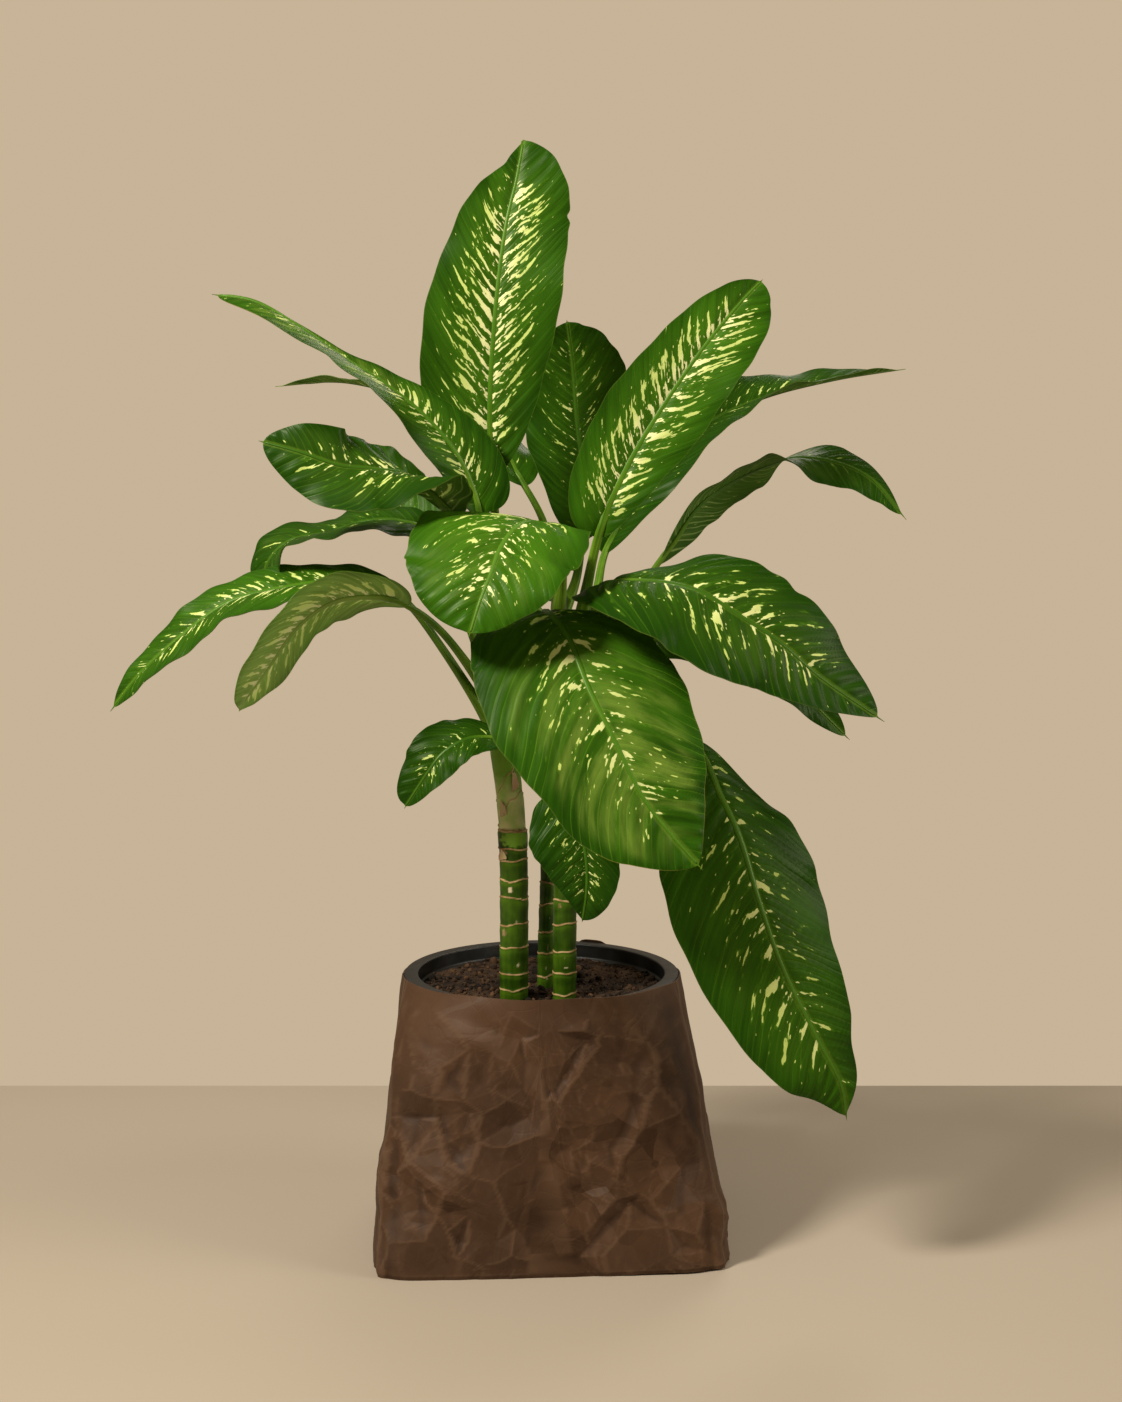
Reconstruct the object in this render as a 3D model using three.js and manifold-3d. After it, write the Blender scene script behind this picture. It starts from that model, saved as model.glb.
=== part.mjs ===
// A potted dieffenbachia: three canes with nineteen leaves in a black nursery pot,
// which stands in a folded paper bag. Millimetres, +Z up. The origin is on the
// floor, under the middle of the pot's rim. The leaves that face a viewer standing
// at the front do so towards -Y.
import * as THREE from 'three';
import { mergeVertices } from 'three/addons/utils/BufferGeometryUtils.js';
import Module from 'manifold-3d';

// ---- Driving dimensions -------------------------------------------------------

const GAP = 0.3; // clearance between pieces that touch
const ROUND_SIDES = 40; // facets round the pot, the soil and the bag

const POT = {
  rimRadius: 119, // outside of the rim's skirt
  rimTop: 227,
  backLift: 3.2, // how much higher the rim is at the back than at its middle
  rimSkirt: 13, // how far the skirt hangs down
  mouthRadius: 106.8, // inside of the mouth
  ledgeDepth: 12, // from the rim's top down to the stacking ledge
  ledgeStep: 2,
  baseRadius: 88,
  wall: 2,
  drainHoles: 6,
  drainRadius: 6,
  drainCircle: 62,
};

const BAG = {
  paper: 1.2,
  topRadius: 120.6, // outside of the top edge, round like the rim
  frontTop: 229, // the top edge stands above the rim at the front
  backTop: 222,
  baseHalfWidth: 150,
  baseHalfDepth: 125,
  baseShift: 10, // the base stands off to the right of the rim
  baseSquareness: 9, // superellipse exponent; 2 is an ellipse
  baseSkew: 0.065, // how much farther back the base stands per unit to the right
  swell: 1, // how far the sides bulge between the base and the top
};

const SOIL = {
  middleHeight: 210,
  edgeHeight: 215, // it rises towards the pot's wall
  shoulderRadius: 62,
  shoulderHeight: 210.5,
};

const BLADE = {
  thickness: 1.3,
  edgeShare: 0.05, // least half width at the base and the tip, as a share
  stations: 12, // steps along the midrib
  columns: 3, // steps from the midrib to each edge
  columnSpread: 1.5, // above 1 puts the steps closer to the midrib
  flatAfter: 0.05, // where the petiole has flattened out, as a share of the blade
  midribLength: 0.85, // where the midrib stops standing out below
  lobe: 9, // how far the lobes beside the petiole reach back
  lobeLength: 0.22, // as a share of the blade
};

const PETIOLE = {
  stations: 5, // steps from the cane to the blade
  taper: 0.72, // its radius at the blade, as a share of that at the cane
};

const CANE_SIDES = 12;

// Canes: the points of each axis with the radius at each point. The lowest
// point is the cut end in the soil.
const CANES = [
  {
    name: 'cane_left',
    path: [[-23, -36, 150], [-23, -36, 230], [-23, -36, 321], [-26, -36, 381], [-33, -36, 432],
      [-39, -38, 480], [-40, -38, 514]],
    radii: [11, 12.3, 12, 11.5, 11, 10.5, 8.5],
  },
  {
    name: 'cane_right',
    path: [[20, -30, 150], [20, -30, 230], [21, -30, 320], [25, -30, 414], [29, -30, 490],
      [32, -30, 532]],
    radii: [9, 10.2, 10, 9.6, 9, 8],
  },
  {
    name: 'cane_back',
    path: [[3, 12, 150], [3, 12, 230], [6, 12, 320], [10, 12, 450], [14, 12, 520], [16, 13, 552]],
    radii: [6, 6.8, 6.8, 7, 8, 7],
  },
];

// Leaves. cane: what the leaf grows from. path: the route of the petiole and the
// midrib, from inside the cane to the tip. base: which point of the path the blade
// starts at. faces: the way the top side looks, at even steps along the blade.
// halfWidth: left and right of the midrib, for a viewer who looks at the top side
// with the tip up. outline: two exponents for each side, which round the base and
// the tip. fold: degrees that each side rises from the midrib. curl: degrees that
// it then turns by its edge. petiole: radius of the petiole where it starts.
const UP_FRONT = [0, -0.5, 1];
const LEAVES = [
  {
    name: 'leaf_top',
    cane: 'cane_left',
    path: [[-40, -38, 500], [-38, -40, 545], [-36, -40, 590], [-41, -36, 660], [-42, -40, 716],
      [-37, -44, 790], [-29, -40, 855], [-20, -34, 896], [-14, -26, 931]],
    base: 3,
    faces: [[0, -1, 0.1]],
    halfWidth: [59.5, 54],
    outline: [[0.42, 1.12], [0.6, 0.52]],
    fold: [12, 12],
    curl: -14,
    petiole: 4.6,
  },
  {
    name: 'leaf_upper_right',
    cane: 'cane_right',
    path: [[30, -33, 512], [38, -46, 558], [50, -62, 610], [72, -62, 661], [100, -56, 708],
      [133, -50, 756], [165, -44, 795], [184, -40, 815]],
    base: 2,
    faces: [[0.12, -1, 0.25]],
    halfWidth: [44, 41],
    outline: [[0.32, 0.8], [0.6, 0.55]],
    fold: [14, 14],
    curl: -10,
    petiole: 4.8,
  },
  {
    name: 'leaf_back',
    cane: 'cane_back',
    path: [[16, 14, 532], [30, 28, 566], [36, 50, 609], [36, 62, 662], [31, 66, 706], [28, 64, 746],
      [25, 58, 771], [22, 50, 792]],
    base: 2,
    faces: [[-0.1, -1, 0.15]],
    halfWidth: [47, 48],
    outline: [[0.5, 0.6], [0.5, 0.5]],
    fold: [14, 14],
    curl: -8,
    petiole: 4,
  },
  {
    name: 'leaf_right_long',
    cane: 'cane_right',
    path: [[34, -27, 515], [47, -8, 555], [58, 18, 596], [95, 40, 653], [140, 60, 699],
      [194, 75, 726], [258, 88, 743], [327, 100, 755]],
    base: 2,
    faces: [[-0.2, -0.8, 0.5], [-0.1, -0.8, 0.6], [0, -0.6, 0.8], [0, -0.35, 0.95], [0, -0.2, 1],
      [0, 0.2, 1]],
    halfWidth: [40, 33],
    outline: [[0.55, 0.9], [0.55, 0.9]],
    fold: [25, 25],
    curl: -8,
    petiole: 4.2,
  },
  {
    name: 'leaf_right_arch',
    cane: 'cane_right',
    path: [[35, -30, 500], [70, -12, 541], [105, 6, 587], [133, 16, 628], [163, 26, 650],
      [194, 34, 665], [223, 38, 673], [258, 36, 668], [288, 28, 652], [315, 16, 618]],
    base: 2,
    faces: [[-0.4, 0.35, 0.85], [-0.4, 0.3, 0.85], [-0.3, 0.3, 0.9], [-0.2, 0.1, 0.9], [0, -0.5, 0.9],
      [0.1, -0.9, 0.5], [0.1, -1, 0.4], [0.1, -1, 0.3]],
    halfWidth: [36, 32],
    outline: [[0.6, 1], [0.8, 0.7]],
    fold: [-20, 8],
    curl: -8,
    petiole: 3.8,
  },
  {
    name: 'leaf_right_big',
    cane: 'cane_right',
    path: [[33, -35, 494], [43, -72, 532], [51, -110, 564], [87, -140, 568], [122, -158, 561],
      [154, -166, 542], [187, -168, 520], [220, -164, 492], [270, -156, 458]],
    base: 2,
    faces: [[0, -0.4, 1], UP_FRONT, [-0.1, -0.75, 0.8], [-0.1, -0.85, 0.7], [0.1, -0.9, 0.6],
      [0.3, -0.9, 0.5]],
    halfWidth: [54, 67],
    outline: [[0.7, 0.62], [0.34, 0.8]],
    fold: [6, 6],
    curl: -16,
    petiole: 4.6,
  },
  {
    name: 'leaf_front_big',
    cane: 'cane_right',
    path: [[27, -35, 484], [16, -68, 522], [5, -105, 542], [13, -135, 537], [24, -156, 522],
      [39, -180, 485], [57, -196, 449], [78, -208, 407], [99, -214, 379], [124, -218, 351]],
    base: 2,
    faces: [UP_FRONT, [0.05, -0.8, 0.7], [0.05, -1, 0.5], [0.1, -1, 0.35], [0.1, -1, 0.3]],
    halfWidth: [71, 84],
    outline: [[0.8, 0.8], [0.42, 0.7]],
    fold: [4, 4],
    curl: -18,
    petiole: 4.8,
  },
  {
    name: 'leaf_bottom_right',
    cane: 'cane_right',
    path: [[26, -34, 404], [70, -62, 430], [123, -84, 435], [147, -112, 392], [161, -128, 360],
      [174, -142, 315], [193, -150, 261], [221, -150, 205], [241, -144, 166], [247, -136, 134]],
    base: 2,
    faces: [[0.3, -0.6, 1], [0.2, -0.9, 0.5], [0.2, -1, 0.3], [0.2, -1, 0.2]],
    halfWidth: [59, 72],
    outline: [[0.9, 1.25], [0.5, 0.8]],
    fold: [-5, -7],
    curl: -12,
    petiole: 4.4,
  },
  {
    name: 'leaf_center',
    cane: 'cane_back',
    path: [[14, 9, 530], [18, -20, 575], [13, -70, 603], [-5, -110, 615], [-18, -140, 610],
      [-30, -164, 593], [-37, -180, 573], [-45, -190, 552], [-53, -196, 526]],
    base: 2,
    faces: [[0, -0.2, 1], UP_FRONT, [0, -0.8, 0.8], [-0.1, -0.9, 0.5], [-0.1, -1, 0.3]],
    halfWidth: [62, 74],
    outline: [[0.45, 0.6], [0.42, 0.42]],
    fold: [4, 4],
    curl: -14,
    petiole: 4.4,
  },
  {
    name: 'leaf_left_up',
    cane: 'cane_left',
    path: [[-42, -35, 494], [-46, -28, 550], [-47, -25, 594], [-49, -28, 629], [-66, -42, 668],
      [-95, -54, 702], [-127, -64, 728], [-159, -68, 748], [-195, -68, 773], [-232, -64, 794],
      [-269, -56, 801]],
    base: 3,
    faces: [[0.3, -0.9, 0.3], [0.25, -0.9, 0.5], [0.1, -0.6, 0.9], [0, -0.35, 1], [0, -0.7, 0.8],
      [0, -0.9, 0.6]],
    halfWidth: [33, 32],
    outline: [[0.5, 0.65], [0.3, 2.6]],
    fold: [16, 16],
    curl: -8,
    petiole: 4,
  },
  {
    name: 'leaf_left_thin',
    cane: 'cane_back',
    path: [[14, 14, 538], [4, 36, 609], [-19, 52, 655], [-37, 66, 684], [-82, 86, 715],
      [-128, 100, 732], [-183, 112, 744], [-243, 118, 741]],
    base: 2,
    faces: [[0, -0.1, 1], [0, 0.1, 1]],
    halfWidth: [36, 36],
    outline: [[0.45, 0.9], [0.45, 0.9]],
    fold: [14, 14],
    curl: -8,
    petiole: 3.8,
  },
  {
    name: 'leaf_left_mid',
    cane: 'cane_right',
    path: [[27, -33, 506], [4, -44, 534], [-33, -60, 575], [-74, -70, 623], [-90, -92, 641],
      [-107, -112, 653], [-132, -128, 656], [-157, -138, 658], [-187, -140, 668],
      [-220, -136, 677]],
    base: 3,
    faces: [[0.3, 0.9, 0.3], [0.2, 0.5, 0.8], [0, -0.4, 1], [-0.1, -0.85, 0.7], [-0.2, -1, 0.4],
      [-0.2, -1, 0.3], [-0.2, -1, 0.2]],
    halfWidth: [46, 32],
    outline: [[0.42, 0.62], [0.8, 0.6]],
    fold: [6, 6],
    curl: -10,
    petiole: 4,
  },
  {
    name: 'leaf_left_fold',
    cane: 'cane_left',
    path: [[-40, -32, 486], [-58, -12, 546], [-99, 8, 609], [-126, 20, 630], [-154, 34, 649],
      [-181, 48, 662], [-204, 58, 669]],
    base: 2,
    faces: [[-0.2, -0.7, 0.7], [0, -0.8, 0.7]],
    halfWidth: [36, 40],
    outline: [[0.45, 0.7], [0.45, 0.7]],
    fold: [22, 22],
    curl: -8,
    petiole: 3.6,
  },
  {
    name: 'leaf_left_lower',
    cane: 'cane_left',
    path: [[-43, -41, 482], [-65, -58, 545], [-92, -66, 604], [-115, -66, 616], [-144, -62, 616],
      [-175, -56, 607], [-208, -50, 600], [-227, -46, 582], [-233, -42, 557]],
    base: 2,
    faces: [[0, -0.6, 1], UP_FRONT, [-0.1, -0.25, 1], [-0.3, -0.5, 0.8], [-0.5, -0.8, 0.5]],
    halfWidth: [43, 28],
    outline: [[0.45, 0.42], [0.45, 0.42]],
    fold: [12, 12],
    curl: -8,
    petiole: 3.8,
  },
  {
    name: 'leaf_left_long',
    cane: 'cane_left',
    path: [[-38, -38, 440], [-78, -56, 505], [-105, -70, 544], [-123, -76, 557], [-163, -84, 567],
      [-208, -90, 562], [-251, -92, 551], [-289, -90, 525], [-326, -86, 492], [-353, -80, 460]],
    base: 3,
    faces: [[-0.1, -0.6, 1], [-0.1, -0.6, 1], [-0.2, -0.7, 0.8], [-0.3, -0.8, 0.6]],
    halfWidth: [34, 25],
    outline: [[0.4, 0.7], [0.4, 0.7]],
    fold: [14, 14],
    curl: -10,
    petiole: 3.8,
  },
  {
    name: 'leaf_left_near',
    cane: 'cane_left',
    path: [[-40, -41, 466], [-80, -76, 524], [-113, -100, 550], [-137, -114, 555],
      [-166, -126, 550], [-192, -136, 530], [-215, -142, 497], [-232, -142, 474],
      [-237, -142, 465]],
    base: 2,
    faces: [[-0.2, 0.5, 1], [-0.4, 0.6, 0.8], [-0.6, 0.6, 0.4], [-0.6, 0.8, 0.3]],
    halfWidth: [31, 32],
    outline: [[0.5, 1], [0.5, 1]],
    fold: [8, 8],
    curl: -8,
    petiole: 3.6,
  },
  {
    name: 'leaf_small_left',
    cane: 'cane_left',
    path: [[-32, -40, 424], [-30, -58, 434], [-38, -70, 438], [-59, -80, 438], [-79, -86, 427],
      [-93, -88, 409], [-112, -84, 380]],
    base: 2,
    faces: [UP_FRONT, [0, -0.8, 0.7], [-0.2, -1, 0.3]],
    halfWidth: [23, 27],
    outline: [[0.3, 0.6], [0.38, 0.4]],
    fold: [8, 8],
    curl: -8,
    petiole: 3,
  },
  {
    name: 'leaf_small_mid',
    cane: 'cane_right',
    path: [[23, -34, 376], [20, -56, 392], [25, -68, 390], [33, -77, 364], [38, -82, 336],
      [38, -84, 310], [34.5, -82, 285]],
    base: 2,
    faces: [[-0.1, -1, 0.3], [0.1, -1, 0.1]],
    halfWidth: [28, 44],
    outline: [[0.4, 0.5], [0.42, 1]],
    fold: [8, 8],
    curl: -8,
    petiole: 3,
  },
  {
    name: 'leaf_right_under',
    cane: 'cane_right',
    path: [[30, -31, 462], [58, -42, 490], [83, -56, 514], [123, -70, 518], [164, -78, 506],
      [205, -80, 483], [255, -76, 436]],
    base: 2,
    faces: [[0, -0.6, 0.9], [0.1, -0.9, 0.6]],
    halfWidth: [28, 28],
    outline: [[0.45, 0.65], [0.45, 0.65]],
    fold: [8, 8],
    curl: -10,
    petiole: 3.6,
  },
];

// ---- Solids -------------------------------------------------------------------

const wasm = await Module();
wasm.setup();
const { Manifold, Mesh } = wasm;

// A closed three.js geometry as a solid that can be joined and cut.
function solidOf(geometry) {
  const bare = geometry.clone();
  bare.deleteAttribute('normal');
  bare.deleteAttribute('uv');
  const merged = mergeVertices(bare, 1e-4);
  return new Manifold(new Mesh({
    numProp: 3,
    vertProperties: new Float32Array(merged.attributes.position.array),
    triVerts: new Uint32Array(merged.index.array),
  }));
}

function geometryOf(solid) {
  const mesh = solid.getMesh();
  const geometry = new THREE.BufferGeometry();
  geometry.setAttribute('position', new THREE.BufferAttribute(mesh.vertProperties, 3));
  geometry.setIndex(new THREE.BufferAttribute(mesh.triVerts, 1));
  geometry.computeVertexNormals();
  return geometry;
}

// The largest of the bodies that a solid falls into.
function mainBody(solid) {
  const bodies = solid.decompose();
  bodies.sort((a, b) => b.volume() - a.volume());
  return bodies[0];
}

// A closed solid from rings of points that all have the same count. Each ring
// joins the next, and the first and the last are capped.
function loft(rings) {
  const count = rings[0].length;
  const positions = rings.flat().flatMap((p) => [p.x, p.y, p.z]);
  const faces = [];
  for (let r = 0; r < rings.length - 1; r += 1) {
    for (let i = 0; i < count; i += 1) {
      const next = (i + 1) % count;
      const a = r * count + i;
      const b = r * count + next;
      faces.push(a, b, b + count, a, b + count, a + count);
    }
  }
  return { positions, faces, count };
}

function closedGeometry(positions, faces) {
  const geometry = new THREE.BufferGeometry();
  geometry.setAttribute('position', new THREE.Float32BufferAttribute(positions, 3));
  geometry.setIndex(faces);
  return geometry;
}

const vector = ([x, y, z]) => new THREE.Vector3(x, y, z);
const mix = (a, b, t) => a + (b - a) * t;

// The value at t, from 0 to 1, of a list spread evenly over that range.
function along(values, t) {
  const place = t * (values.length - 1);
  const low = Math.min(Math.floor(place), Math.max(values.length - 2, 0));
  const high = Math.min(low + 1, values.length - 1);
  if (typeof values[0] === 'number') return mix(values[low], values[high], place - low);
  return vector(values[low]).lerp(vector(values[high]), place - low);
}

// A point of a smooth curve through the points: place counts the points passed.
function onCurve(points, place) {
  const i = Math.min(Math.floor(place), points.length - 2);
  const t = place - i;
  const p1 = vector(points[i]);
  const p2 = vector(points[i + 1]);
  const p0 = i > 0 ? vector(points[i - 1]) : p1.clone().multiplyScalar(2).sub(p2);
  const p3 = i + 2 < points.length ? vector(points[i + 2]) : p2.clone().multiplyScalar(2).sub(p1);
  const blend = (a, b, c, d) => 0.5 * (2 * b + (c - a) * t + (2 * a - 5 * b + 4 * c - d) * t * t
    + (3 * b - a - 3 * c + d) * t * t * t);
  return new THREE.Vector3(
    blend(p0.x, p1.x, p2.x, p3.x),
    blend(p0.y, p1.y, p2.y, p3.y),
    blend(p0.z, p1.z, p2.z, p3.z),
  );
}

function tangentAt(points, place) {
  const step = 0.02;
  const before = onCurve(points, Math.max(place - step, 0));
  const after = onCurve(points, Math.min(place + step, points.length - 1));
  return after.sub(before).normalize();
}

// A round tube along a smooth curve, with a radius that varies along it.
function tube(points, places, radiusAt, sides) {
  const rings = [];
  let side = new THREE.Vector3(1, 0, 0);
  for (const place of places) {
    const centre = onCurve(points, place);
    const direction = tangentAt(points, place);
    side = side.clone().addScaledVector(direction, -side.dot(direction)).normalize();
    const other = direction.clone().cross(side);
    const radius = radiusAt(place);
    const ring = [];
    for (let i = 0; i < sides; i += 1) {
      const angle = (2 * Math.PI * i) / sides;
      ring.push(centre.clone()
        .addScaledVector(side, radius * Math.cos(angle))
        .addScaledVector(other, radius * Math.sin(angle)));
    }
    rings.push(ring);
  }
  const { positions, faces, count } = loft(rings);
  const last = (rings.length - 1) * count;
  for (let i = 1; i < count - 1; i += 1) {
    faces.push(0, i + 1, i);
    faces.push(last, last + i, last + i + 1);
  }
  return solidOf(closedGeometry(positions, faces));
}

function spread(from, to, steps) {
  return Array.from({ length: steps + 1 }, (_, i) => mix(from, to, i / steps));
}

// ---- Canes --------------------------------------------------------------------

function caneSolid(cane, extra) {
  const last = cane.path.length - 1;
  const places = spread(0, last, last * 2);
  const radiusAt = (place) => along(cane.radii, place / last) + extra;
  return tube(cane.path, places, radiusAt, CANE_SIDES);
}

// ---- Leaves -------------------------------------------------------------------

function outlineAt([base, tip], t) {
  const peak = base / (base + tip);
  const top = peak ** base * (1 - peak) ** tip;
  return Math.max((t ** base * (1 - t) ** tip) / top, BLADE.edgeShare);
}

// Unit vectors across a leaf at one place of its path: along the midrib, out of
// the top side and to the right.
function leafAxes(leaf, place, face) {
  const direction = tangentAt(leaf.path, place);
  const up = face.clone().addScaledVector(direction, -face.dot(direction)).normalize();
  return { direction, up, right: direction.clone().cross(up) };
}

// One ring of the petiole: a circle, with as many points as a ring of the blade.
function petioleRing(centre, axes, radius) {
  const count = 2 * (2 * BLADE.columns + 1);
  const ring = [];
  for (let i = 0; i < count; i += 1) {
    const angle = Math.PI - ((i + 0.5) * 2 * Math.PI) / count;
    ring.push(centre.clone()
      .addScaledVector(axes.right, radius * Math.cos(angle))
      .addScaledVector(axes.up, radius * Math.sin(angle)));
  }
  return ring;
}

// One ring of the blade: along the top side from left to right, and back along the
// underside, which the midrib thickens.
function bladeRing(leaf, middle, axes, share, extra) {
  const half = BLADE.thickness / 2 + extra;
  const midrib = mix(leaf.petiole, 0, Math.min(1, share / BLADE.midribLength));
  const top = [];
  const under = [];
  for (let c = -BLADE.columns; c <= BLADE.columns; c += 1) {
    const hand = c < 0 ? 0 : 1;
    const sign = c < 0 ? -1 : 1;
    const out = (Math.abs(c) / BLADE.columns) ** BLADE.columnSpread;
    const width = leaf.halfWidth[hand] * outlineAt(leaf.outline[hand], share);
    const fold = THREE.MathUtils.degToRad(leaf.fold[hand]);
    const curl = THREE.MathUtils.degToRad(leaf.curl);
    const turned = fold + curl * out;
    const across = (width / curl) * (Math.sin(turned) - Math.sin(fold));
    const rise = (width / curl) * (Math.cos(fold) - Math.cos(turned));
    const lobe = BLADE.lobe * Math.max(0, 1 - share / BLADE.lobeLength) ** 2 * out ** 1.5;
    const point = middle.clone()
      .addScaledVector(axes.right, sign * across)
      .addScaledVector(axes.up, rise)
      .addScaledVector(axes.direction, -lobe);
    const normal = axes.up.clone().multiplyScalar(Math.cos(turned))
      .addScaledVector(axes.right, -sign * Math.sin(turned));
    const below = c === 0 ? half + midrib : half;
    top.push(point.clone().addScaledVector(normal, half));
    under.unshift(point.clone().addScaledVector(normal, -below));
  }
  return [...top, ...under];
}

// A leaf: one loft, which starts as the round petiole and flattens into the blade.
// extra makes it larger all round.
function leafSolid(leaf, extra) {
  const last = leaf.path.length - 1;
  const baseFace = along(leaf.faces, 0);
  const rings = [];
  for (let s = 0; s < PETIOLE.stations; s += 1) {
    const place = (s / PETIOLE.stations) * leaf.base;
    const radius = mix(leaf.petiole, leaf.petiole * PETIOLE.taper, s / PETIOLE.stations);
    rings.push(petioleRing(onCurve(leaf.path, place), leafAxes(leaf, place, baseFace), radius + extra));
  }
  for (let s = 0; s <= BLADE.stations; s += 1) {
    const even = s / BLADE.stations;
    const share = even - (0.6 * Math.sin(2 * Math.PI * even)) / (2 * Math.PI);
    const place = mix(leaf.base, last, share);
    const axes = leafAxes(leaf, place, along(leaf.faces, share));
    const middle = onCurve(leaf.path, place);
    const round = petioleRing(middle, axes, leaf.petiole * PETIOLE.taper + extra);
    const flat = bladeRing(leaf, middle, axes, share, extra);
    const flatness = THREE.MathUtils.smoothstep(share, 0, BLADE.flatAfter);
    rings.push(round.map((point, i) => point.lerp(flat[i], flatness)));
  }
  const { positions, faces, count } = loft(rings);
  const end = (rings.length - 1) * count;
  for (let i = 0; i < count / 2 - 1; i += 1) {
    const j = count - 1 - i;
    faces.push(i, j - 1, i + 1, i, j, j - 1);
    faces.push(end + i, end + i + 1, end + j - 1, end + i, end + j - 1, end + j);
  }
  return solidOf(closedGeometry(positions, faces));
}

// ---- Pot, soil and bag --------------------------------------------------------

// Leans a shape with the pot, whose rim is higher at the back than at the front.
function lean(geometry) {
  const position = geometry.attributes.position;
  const slope = POT.backLift / POT.rimRadius;
  for (let i = 0; i < position.count; i += 1) {
    const z = position.getZ(i);
    position.setZ(i, z + (slope * position.getY(i) * z) / POT.rimTop);
  }
}

function lathe(profile) {
  const points = profile.map(([radius, height]) => new THREE.Vector2(radius, height));
  const geometry = new THREE.LatheGeometry(points, ROUND_SIDES);
  geometry.rotateX(Math.PI / 2);
  lean(geometry);
  return solidOf(geometry);
}

function nurseryPot() {
  const { rimRadius, rimTop, rimSkirt, mouthRadius, ledgeDepth, ledgeStep, baseRadius, wall } = POT;
  const floor = BAG.paper + GAP;
  const ledge = rimTop - ledgeDepth;
  const bevel = 1.4;
  let pot = lathe([
    [0, floor],
    [baseRadius - bevel, floor],
    [baseRadius, floor + bevel],
    [mouthRadius - ledgeStep + wall, ledge - wall],
    [mouthRadius + wall, ledge],
    [mouthRadius + wall, rimTop - wall],
    [rimRadius - wall, rimTop - wall],
    [rimRadius - wall, rimTop - rimSkirt],
    [rimRadius, rimTop - rimSkirt],
    [rimRadius, rimTop - bevel],
    [rimRadius - bevel, rimTop],
    [mouthRadius + bevel / 2, rimTop],
    [mouthRadius, rimTop - bevel / 2],
    [mouthRadius, ledge],
    [mouthRadius - ledgeStep, ledge - wall],
    [baseRadius - wall, floor + wall + bevel],
    [baseRadius - wall - bevel, floor + wall],
    [0, floor + wall],
  ]);
  for (let i = 0; i < POT.drainHoles; i += 1) {
    const angle = (2 * Math.PI * i) / POT.drainHoles;
    const drill = new THREE.CylinderGeometry(POT.drainRadius, POT.drainRadius, 6 * wall, 12);
    drill.rotateX(Math.PI / 2);
    drill.translate(POT.drainCircle * Math.cos(angle), POT.drainCircle * Math.sin(angle), floor);
    pot = pot.subtract(solidOf(drill));
  }
  return pot;
}

function soilSolid() {
  const floor = BAG.paper + GAP + POT.wall + GAP;
  const insideAt = (height) => {
    const share = (height - floor) / (POT.rimTop - POT.ledgeDepth - floor);
    return mix(POT.baseRadius - POT.wall, POT.mouthRadius - POT.ledgeStep, share) - 2 * GAP;
  };
  const cornerCut = 3;
  let soil = lathe([
    [0, floor],
    [insideAt(floor) - cornerCut, floor],
    [insideAt(floor + cornerCut), floor + cornerCut],
    [insideAt(SOIL.edgeHeight), SOIL.edgeHeight],
    [SOIL.shoulderRadius, SOIL.shoulderHeight],
    [0, SOIL.middleHeight],
  ]);
  for (const cane of CANES) soil = soil.subtract(caneSolid(cane, GAP));
  return soil;
}

// One level of the bag: a superellipse that squares up towards the base.
function bagRing(height, share, inset) {
  const swell = BAG.swell * Math.sin(Math.PI * share);
  const halfWidth = mix(BAG.baseHalfWidth, BAG.topRadius, share) + swell - inset;
  const halfDepth = mix(BAG.baseHalfDepth, BAG.topRadius, share) + swell / 2 - inset;
  const squareness = mix(BAG.baseSquareness, 2, share);
  const shift = BAG.baseShift * (1 - share);
  const skew = BAG.baseSkew * (1 - share);
  const ring = [];
  for (let i = 0; i < ROUND_SIDES; i += 1) {
    const angle = (2 * Math.PI * i) / ROUND_SIDES;
    const power = (value) => Math.sign(value) * Math.abs(value) ** (2 / squareness);
    const x = halfWidth * power(Math.cos(angle));
    const y = halfDepth * power(Math.sin(angle)) + skew * x;
    const nearFront = (1 - y / BAG.topRadius) / 2;
    const top = mix(BAG.backTop, BAG.frontTop, nearFront);
    const z = share === 1 ? top : height;
    ring.push(new THREE.Vector3(shift + x, y, z));
  }
  return ring;
}

function paperBag() {
  const shares = [0, 0.04, 0.14, 0.32, 0.52, 0.74, 1];
  const middleTop = (BAG.frontTop + BAG.backTop) / 2;
  const outside = shares.map((share) => bagRing(share * middleTop, share, share === 0 ? BAG.paper : 0));
  const inside = shares.map((share) => bagRing(Math.max(share * middleTop, BAG.paper), share, BAG.paper));
  const rings = [...outside, ...inside.reverse()];
  const { positions, faces, count } = loft(rings);
  const last = (rings.length - 1) * count;
  const baseCentre = positions.length / 3;
  positions.push(BAG.baseShift, 0, 0, BAG.baseShift, 0, BAG.paper);
  for (let i = 0; i < count; i += 1) {
    const next = (i + 1) % count;
    faces.push(baseCentre, next, i);
    faces.push(baseCentre + 1, last + i, last + next);
  }
  return solidOf(closedGeometry(positions, faces));
}

// ---- The object ---------------------------------------------------------------

const MATERIALS = {
  leaf: new THREE.MeshStandardMaterial({ color: 0x3c6226, roughness: 0.38, metalness: 0 }),
  cane: new THREE.MeshStandardMaterial({ color: 0x557a33, roughness: 0.45, metalness: 0 }),
  pot: new THREE.MeshStandardMaterial({ color: 0x1c1d1c, roughness: 0.5, metalness: 0 }),
  soil: new THREE.MeshStandardMaterial({ color: 0x4a3225, roughness: 0.95, metalness: 0 }),
  bag: new THREE.MeshStandardMaterial({ color: 0x553d2b, roughness: 0.8, metalness: 0 }),
};

const group = new THREE.Group();

function addPiece(parent, name, solid, material) {
  const mesh = new THREE.Mesh(geometryOf(solid), material);
  mesh.name = name;
  parent.add(mesh);
}

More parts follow.
